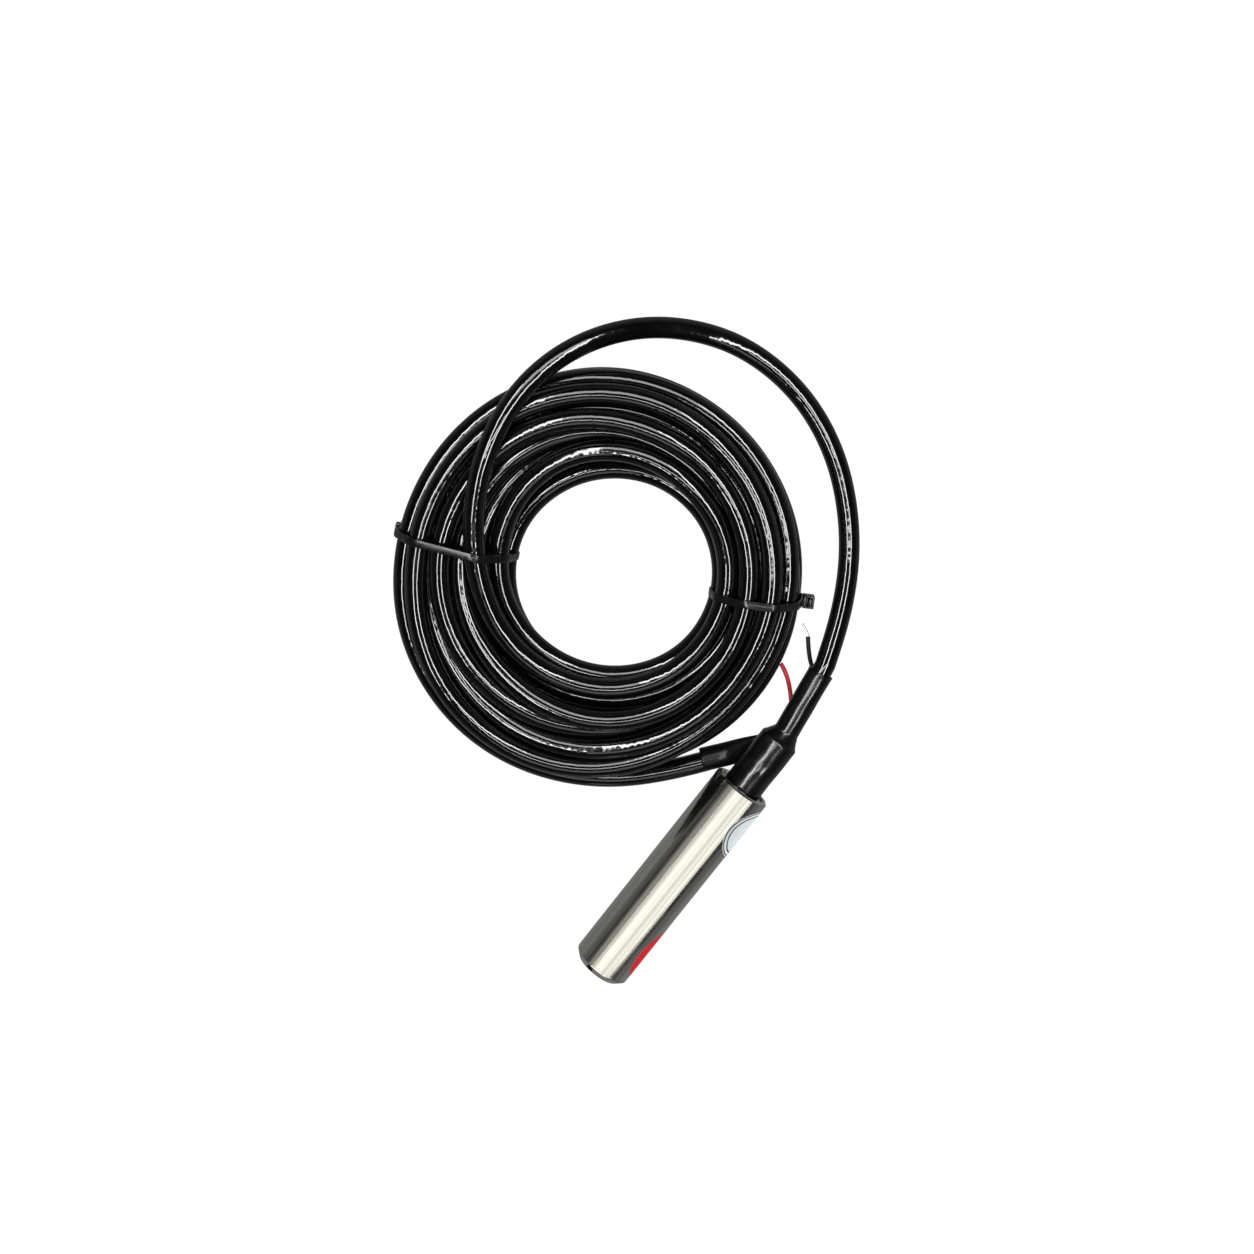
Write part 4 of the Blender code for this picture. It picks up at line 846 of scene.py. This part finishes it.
def tie_head(name, size, centre, radial, across, near, level):
    """The ratchet head: a bevelled block with a window, its pawl, and the tail that comes out."""
    depth, width, height = size
    shape = bmesh.new()

    def block(low, high, bevel):
        """A bevelled box between two corners."""
        low, high = Vector(low), Vector(high)
        cube = Matrix.Translation((low + high) / 2) @ Matrix.Diagonal((*(high - low), 1))
        made = bmesh.ops.create_cube(shape, size=1.0, matrix=cube)["verts"]
        edges = list({edge for vertex in made for edge in vertex.link_edges})
        bmesh.ops.bevel(shape, geom=edges, offset=bevel, segments=3, profile=0.5, affect="EDGES")

    wall = 0.0008
    for low in (-width / 2, width / 2 - wall):
        block((0, low, -height / 2), (depth, low + wall, height / 2), 0.0003)
    block((0, -width / 2, -height / 2), (0.0011, width / 2, height / 2), 0.0003)
    block((depth - 0.0009, -width / 2, -height / 2), (depth, width / 2, height / 2), 0.0003)
    block((0.0009, -0.0012, -height / 2 + 0.0003), (0.0018, 0.0012, height / 2 - 0.0007), 0.0002)
    block((0.0019, -STRAP_WIDTH / 2, -height / 2 - 0.0006),
          (0.0029, STRAP_WIDTH / 2, height / 2 + 0.0010), 0.00022)
    place = centre + radial * (near - 0.0002)
    pose = pose_of(radial, across, (0, 0, 1), (place[0], place[1], level))
    bmesh.ops.transform(shape, verts=shape.verts, matrix=pose)
    mesh = bpy.data.meshes.new(name)
    bmesh.ops.recalc_face_normals(shape, faces=shape.faces)
    shape.to_mesh(mesh)
    shape.free()
    return finished(name, mesh, NYLON, radians(30))


TIES = [*make_tie("left", TIE_LEFT_ANGLE, (0.0030, 0.0044, 0.0042), 0.0048),
        *make_tie("right", TIE_RIGHT_ANGLE, (0.0040, 0.0046, 0.0050), 0.0095)]


def turned(name, profile, made_of, steps=144):
    """Turn a profile of (x, radius) about the probe's axis; it closes along its bore."""
    x, radius = np.asarray(profile, float).T
    turn = circle(steps)[:, None]
    rings = np.stack([x + 0 * turn, radius * np.cos(turn), radius * np.sin(turn) + AXIS_HEIGHT],
                     axis=2)
    return ring_mesh(name, rings, made_of, closed=True)


def rounded(corner, before, after, radius, steps=3):
    """Points of a small fillet at a profile's corner, on a parabola between its two ends."""
    corner, before, after = Vector(corner), Vector(before), Vector(after)
    start = corner + (before - corner).normalized() * radius
    end = corner + (after - corner).normalized() * radius
    return [tuple(start.lerp(corner, t).lerp(corner.lerp(end, t), t))
            for t in np.linspace(0, 1, steps)]


def filleted(corners):
    """A closed profile through (x, radius, fillet) corners."""
    profile = []
    for i, (x, r, fillet) in enumerate(corners):
        if fillet == 0:
            profile.append((x, r))
            continue
        before, after = corners[i - 1][:2], corners[(i + 1) % len(corners)][:2]
        profile += rounded((x, r), before, after, fillet)
    return profile


def make_housing():
    """The tube, with its broken rear edge, and the cap, with ports through its chamfer.

    Both are turned profiles, whose corners are (x, radius, fillet).
    """
    outer = HOUSING_RADIUS
    joint = NOSE_X - NOSE_FLANGE
    front, plug, seat = joint - 0.00002, REAR_X + 0.0132, 0.0405
    rear_bore, bore, cell_bore, rear_edge = 0.0090, 0.0083, 0.0098, 0.0007
    tube = turned("housing_tube_skin", filleted([
        (front, outer, 0.00001), (REAR_X + rear_edge, outer, 0.0001),
        (REAR_X, outer - rear_edge, 0.0001), (REAR_X, rear_bore, 0.0001), (plug, rear_bore, 0),
        (plug, bore, 0), (seat, bore, 0), (seat, cell_bore, 0), (front, cell_bore, 0)]), STEEL)
    face_ends(tube)
    stands_for(tube, "turned_steel", "housing_tube")
    skirt_end, chamber_end = NOSE_X - 0.0111, NOSE_X - 0.0022
    skirt, chamber, inlet, port = 0.0095, 0.0065, 0.0032, 0.0029
    cap = turned("nose_cap_skin", filleted([
        (NOSE_X, outer - NOSE_CHAMFER, 0.00025), (NOSE_X - NOSE_CHAMFER, outer, 0.0004),
        (joint, outer, 0.00001), (joint, skirt, 0), (skirt_end, skirt, 0), (skirt_end, chamber, 0),
        (chamber_end, chamber, 0), (chamber_end, inlet, 0), (NOSE_X, inlet, 0.0002)]), STEEL)
    for i in range(3):
        angle = radians(118 + 120 * i)
        out = Vector((0, cos(angle), sin(angle)))
        forward = Vector((1, 0, 0))
        entry = forward * (NOSE_X - 0.0011) + out * (outer - NOSE_CHAMFER + 0.0011)
        entry.z += AXIS_HEIGHT
        drill_through(cap, entry, (forward + out).normalized(), port, 0.0084)
    face_ends(cap)
    stands_for(cap, "turned_steel", "nose_cap")


def face_ends(obj):
    """Give the faces that look along the axis the faced steel, whose lines are rings."""
    normals = np.zeros(len(obj.data.polygons) * 3)
    obj.data.polygons.foreach_get("normal", normals)
    obj.data.materials.append(FACED_STEEL)
    faced = (np.abs(normals[::3]) > 0.6).astype(int)
    obj.data.polygons.foreach_set("material_index", faced)


def drill_through(obj, middle, direction, diameter, depth):
    """Cut a round hole and keep the result in the mesh."""
    shape = bmesh.new()
    bmesh.ops.create_cone(shape, cap_ends=True, segments=40, radius1=diameter / 2,
                          radius2=diameter / 2, depth=depth)
    mesh = bpy.data.meshes.new("drill")
    shape.to_mesh(mesh)
    shape.free()
    drill = add_object("drill", mesh)
    drill.matrix_world = (Matrix.Translation(middle)
                          @ direction.to_track_quat("Z", "Y").to_matrix().to_4x4())
    step = obj.modifiers.new("drill", "BOOLEAN")
    step.operation = "DIFFERENCE"
    step.object = drill
    step.solver = "EXACT"
    bpy.context.view_layer.update()
    cut = bpy.data.meshes.new_from_object(obj.evaluated_get(bpy.context.evaluated_depsgraph_get()))
    obj.modifiers.remove(step)
    obj.data = cut
    cut.shade_smooth()
    cut.set_sharp_from_angle(angle=radians(30))
    bpy.data.objects.remove(drill, do_unlink=True)


make_housing()


def make_boot():
    """The boot round its bent axis.

    Outer radius: the large stage, a rounded shoulder, a taper as the 0.8th power, and the small
    stage with a slight lip. Puckers are low cosine waves and dents that fade in and out.
    """
    tucked_in, wall, sides = 0.0006, 0.0005, 96
    outer = np.concatenate([
        np.linspace(-tucked_in, 0.0, 3)[:-1], np.linspace(0.0, BOOT_SHOULDER - 0.0008, 50)[:-1],
        np.linspace(BOOT_SHOULDER - 0.0008, BOOT_SHOULDER + 0.0006, 14)[:-1],
        np.linspace(BOOT_SHOULDER + 0.0006, BOOT_LENGTH, 90)])
    turn = circle(sides)
    edge = BOOT_LARGE_RADIUS - 0.0003
    fall = np.clip((outer - BOOT_SHOULDER + 0.0008) / 0.0008, 0, 1)
    share = np.clip((outer - BOOT_SHOULDER) / BOOT_TAPER, 0, 1)
    base = np.where(share > 0, edge + (BOOT_SMALL_RADIUS - edge) * share ** 0.8,
                    BOOT_LARGE_RADIUS - 0.0003 * fall ** 2)
    base = base + 0.00016 * np.clip((outer - BOOT_LENGTH + 0.0016) / 0.0016, 0, 1) ** 2
    mm = outer[:, None] * 1000
    on_large = outer[:, None] < BOOT_SHOULDER
    dents = np.where(
        on_large,
        -0.00007 * np.exp(-((mm - 11.5) / 2.2) ** 2) * (0.5 + 0.5 * np.cos(turn - 1.75)) ** 4
        + 0.00009 * np.cos(2 * turn + mm * 0.42) * np.exp(-((mm - 9) / 7) ** 2)
        + 0.00002 * np.cos(5 * turn - mm * 0.9),
        0.00003 * np.cos(3 * turn + mm * 0.5))
    radii = base[:, None] + dents
    spots, directions = boot_axis(outer)
    outside = boot_rings(spots, directions, radii)
    back_way = [*range(len(outer) - 1, 0, -12), 0]
    inner = np.maximum(radii[back_way] - wall, CABLE_RADIUS + 0.00004)
    inside = boot_rings(spots[back_way], directions[back_way], inner)
    both = np.concatenate([outside, inside])
    boot = ring_mesh("heat_shrink_boot_skin", both, SHRINK, closed=True)
    return stands_for(boot, "heat_shrink", "heat_shrink_boot")


def boot_rings(spots, directions, radii):
    """Rings square to the boot's axis, starting from its +Y side."""
    turn = circle(radii.shape[1])[None, :, None]
    side = np.stack([-directions[:, 1], directions[:, 0], 0 * directions[:, 0]], axis=1)
    side = side * np.sign(side[:, 1:2])
    return spots[:, None] + radii[:, :, None] * (
        np.cos(turn) * side[:, None] + np.sin(turn) * np.array((0, 0, 1.0)))


make_boot()


def make_label(name, centre_x, angle, across, around, made_of):
    """A thin oval film on the tube, whose UV is the share of the way from its middle to its rim.

    Ring i is the ellipse (across, around) times share i, laid round the tube; the angle is
    measured from straight up towards +Y.
    """
    shares = np.append(np.linspace(0.04, 0.98, 16), 1.0)[:, None]
    lift = np.where(shares < 1.0, 0.00005, 0.00001)
    sides = 72
    turn = circle(sides)[None, :]
    place = angle + around * shares * np.sin(turn) / HOUSING_RADIUS
    rings = np.stack([centre_x + across * shares * np.cos(turn),
                      (HOUSING_RADIUS + lift) * np.sin(place),
                      (HOUSING_RADIUS + lift) * np.cos(place) + AXIS_HEIGHT], axis=2)
    faces = [list(range(sides)), *ring_faces(len(rings), sides)[:, ::-1].tolist()]
    mesh = new_mesh(name, rings, faces)
    spots = np.zeros(len(mesh.loops), int)
    mesh.loops.foreach_get("vertex_index", spots)
    uvs = np.full((len(spots), 2), 0.5)
    uvs[:, 0] = np.repeat(shares, sides)[spots]
    mesh.uv_layers.new(name="UVMap").data.foreach_set("uv", uvs.ravel())
    return stands_for(finished(name, mesh, made_of), "turned_steel")


SILVER_FILM = film("silver_film", (0.58, 0.62, 0.63), [(0.79, 0.845), (0.93, 0.975)])
RED_FILM = film("red_film", (0.43, 0.005, 0.010))
make_label("round_label", -0.0050, radians(72), 0.0105, 0.0105, SILVER_FILM)
make_label("red_label", 0.0530, radians(82), 0.0115, 0.0085, RED_FILM)


def make_stage():
    """White floor, a room that is darker overhead, and the lamps over the part.

    A lamp's power is four times its area and radiance. The camera sees the room as plain white.
    """
    mesh = new_mesh("floor", [(-3, -3, 0), (3, -3, 0), (3, 3, 0), (-3, 3, 0)], [(0, 1, 2, 3)])
    floor = add_object("floor", mesh)
    floor.location.z = -0.0001
    floor.visible_glossy = False
    paint = Paint("floor", (0.05, 0.05, 0.05), 0.9, **{"Specular IOR Level": 0.0})
    paint.set("Emission Color", (1.0, 1.0, 1.0, 1.0))
    paint.set("Emission Strength", FLOOR_GLOW)
    mesh.materials.append(paint.made)

    world = bpy.data.worlds.new("studio")
    bpy.context.scene.world = world
    world.use_nodes = True
    tree = world.node_tree
    way = add_node(tree, "ShaderNodeTexCoord").outputs["Generated"]
    rise = add_node(tree, "ShaderNodeSeparateXYZ", {0: way}).outputs["Z"]
    room = add_node(tree, "ShaderNodeMapRange", {
        "Value": rise, "From Min": -0.15, "From Max": 0.45, "To Min": ROOM_LOW,
        "To Max": ROOM_HIGH}).outputs["Result"]
    ray = add_node(tree, "ShaderNodeLightPath").outputs["Is Camera Ray"]
    shown = add_node(tree, "ShaderNodeMix", {"Factor": ray, 2: room, 3: 1.0}).outputs[0]
    tree.nodes["Background"].inputs[0].default_value = (*WHITE, 1.0)
    tree.links.new(shown, tree.nodes["Background"].inputs[1])

    lit = {key: bpy.data.collections.new("lit_" + key) for key in ("cable", "probe", "label")}
    for obj in bpy.context.scene.objects:
        if obj.type == "MESH":
            kind = "label" if "label" in obj.name else "cable"
            kind = "probe" if obj.name in PROBE_PIECES else kind
            lit[kind].objects.link(obj)
    for name, (across, along, high), faces, (wide, tall), turn, radiance, tint, lights in LAMPS:
        data = bpy.data.lights.new(name, "AREA")
        data.shape = "RECTANGLE"
        data.size, data.size_y = wide, tall
        data.energy = radiance * 4 * wide * tall
        data.color = tint
        light = add_object(name, data)
        light.light_linking.receiver_collection = lit[lights]
        place = VIEW_MIDDLE + VIEW_RIGHT * across + VIEW_AHEAD * along + Vector((0, 0, high))
        target = VIEW_MIDDLE + VIEW_RIGHT * faces[0] + VIEW_AHEAD * faces[1]
        down = (target - place).normalized()
        side = VIEW_RIGHT * cos(turn) + VIEW_AHEAD * sin(turn)
        side = (side - down * side.dot(down)).normalized()
        light.matrix_world = pose_of(side, (-down).cross(side), -down, place)


make_stage()


def dress_cad_nodes():
    """Materials for the solids that stay as they are."""
    looks = {
        "turned_steel": STEEL, "cell_steel": CELL_STEEL, "black_rubber": RUBBER,
        "cable_jacket": JACKET, "black_nylon": NYLON, "red_insulation": RED,
        "black_insulation": BLACK, "heat_shrink": SHRINK, "tinned_copper": TINNED,
        "nickel_brass": steel("nickel_brass", (0.66, 0.62, 0.52), 0.2, 0.34, (800, 800, 800)),
    }
    plastics = {
        "board_holder": ((0.82, 0.81, 0.75), 0.5), "green_board": ((0.02, 0.19, 0.08), 0.42, 900),
        "chip_plastic": ((0.028, 0.028, 0.029), 0.5), "capacitor_body": ((0.72, 0.50, 0.10), 0.42),
        "terminal_plastic": ((0.05, 0.28, 0.12), 0.42), "vent_plastic": ((0.78, 0.80, 0.80), 0.3),
        "ribbon_insulation": ((0.52, 0.53, 0.55), 0.48),
    }
    looks.update({name: plastic(name, *finish) for name, finish in plastics.items()})
    slots = {part["node"]: part["material_slot"] for part in frame["record"]["subparts"]}
    for name, node in frame["nodes"].items():
        look = looks.get(slots.get(name))
        if look is None:
            continue
        obj = node if isinstance(node, bpy.types.Object) else bpy.data.objects[name]
        for place in obj.material_slots:
            place.material = look
        if not obj.material_slots:
            obj.data.materials.append(look)


dress_cad_nodes()

bpy.context.scene.view_settings.view_transform = "Standard"
bpy.context.view_layer.update()
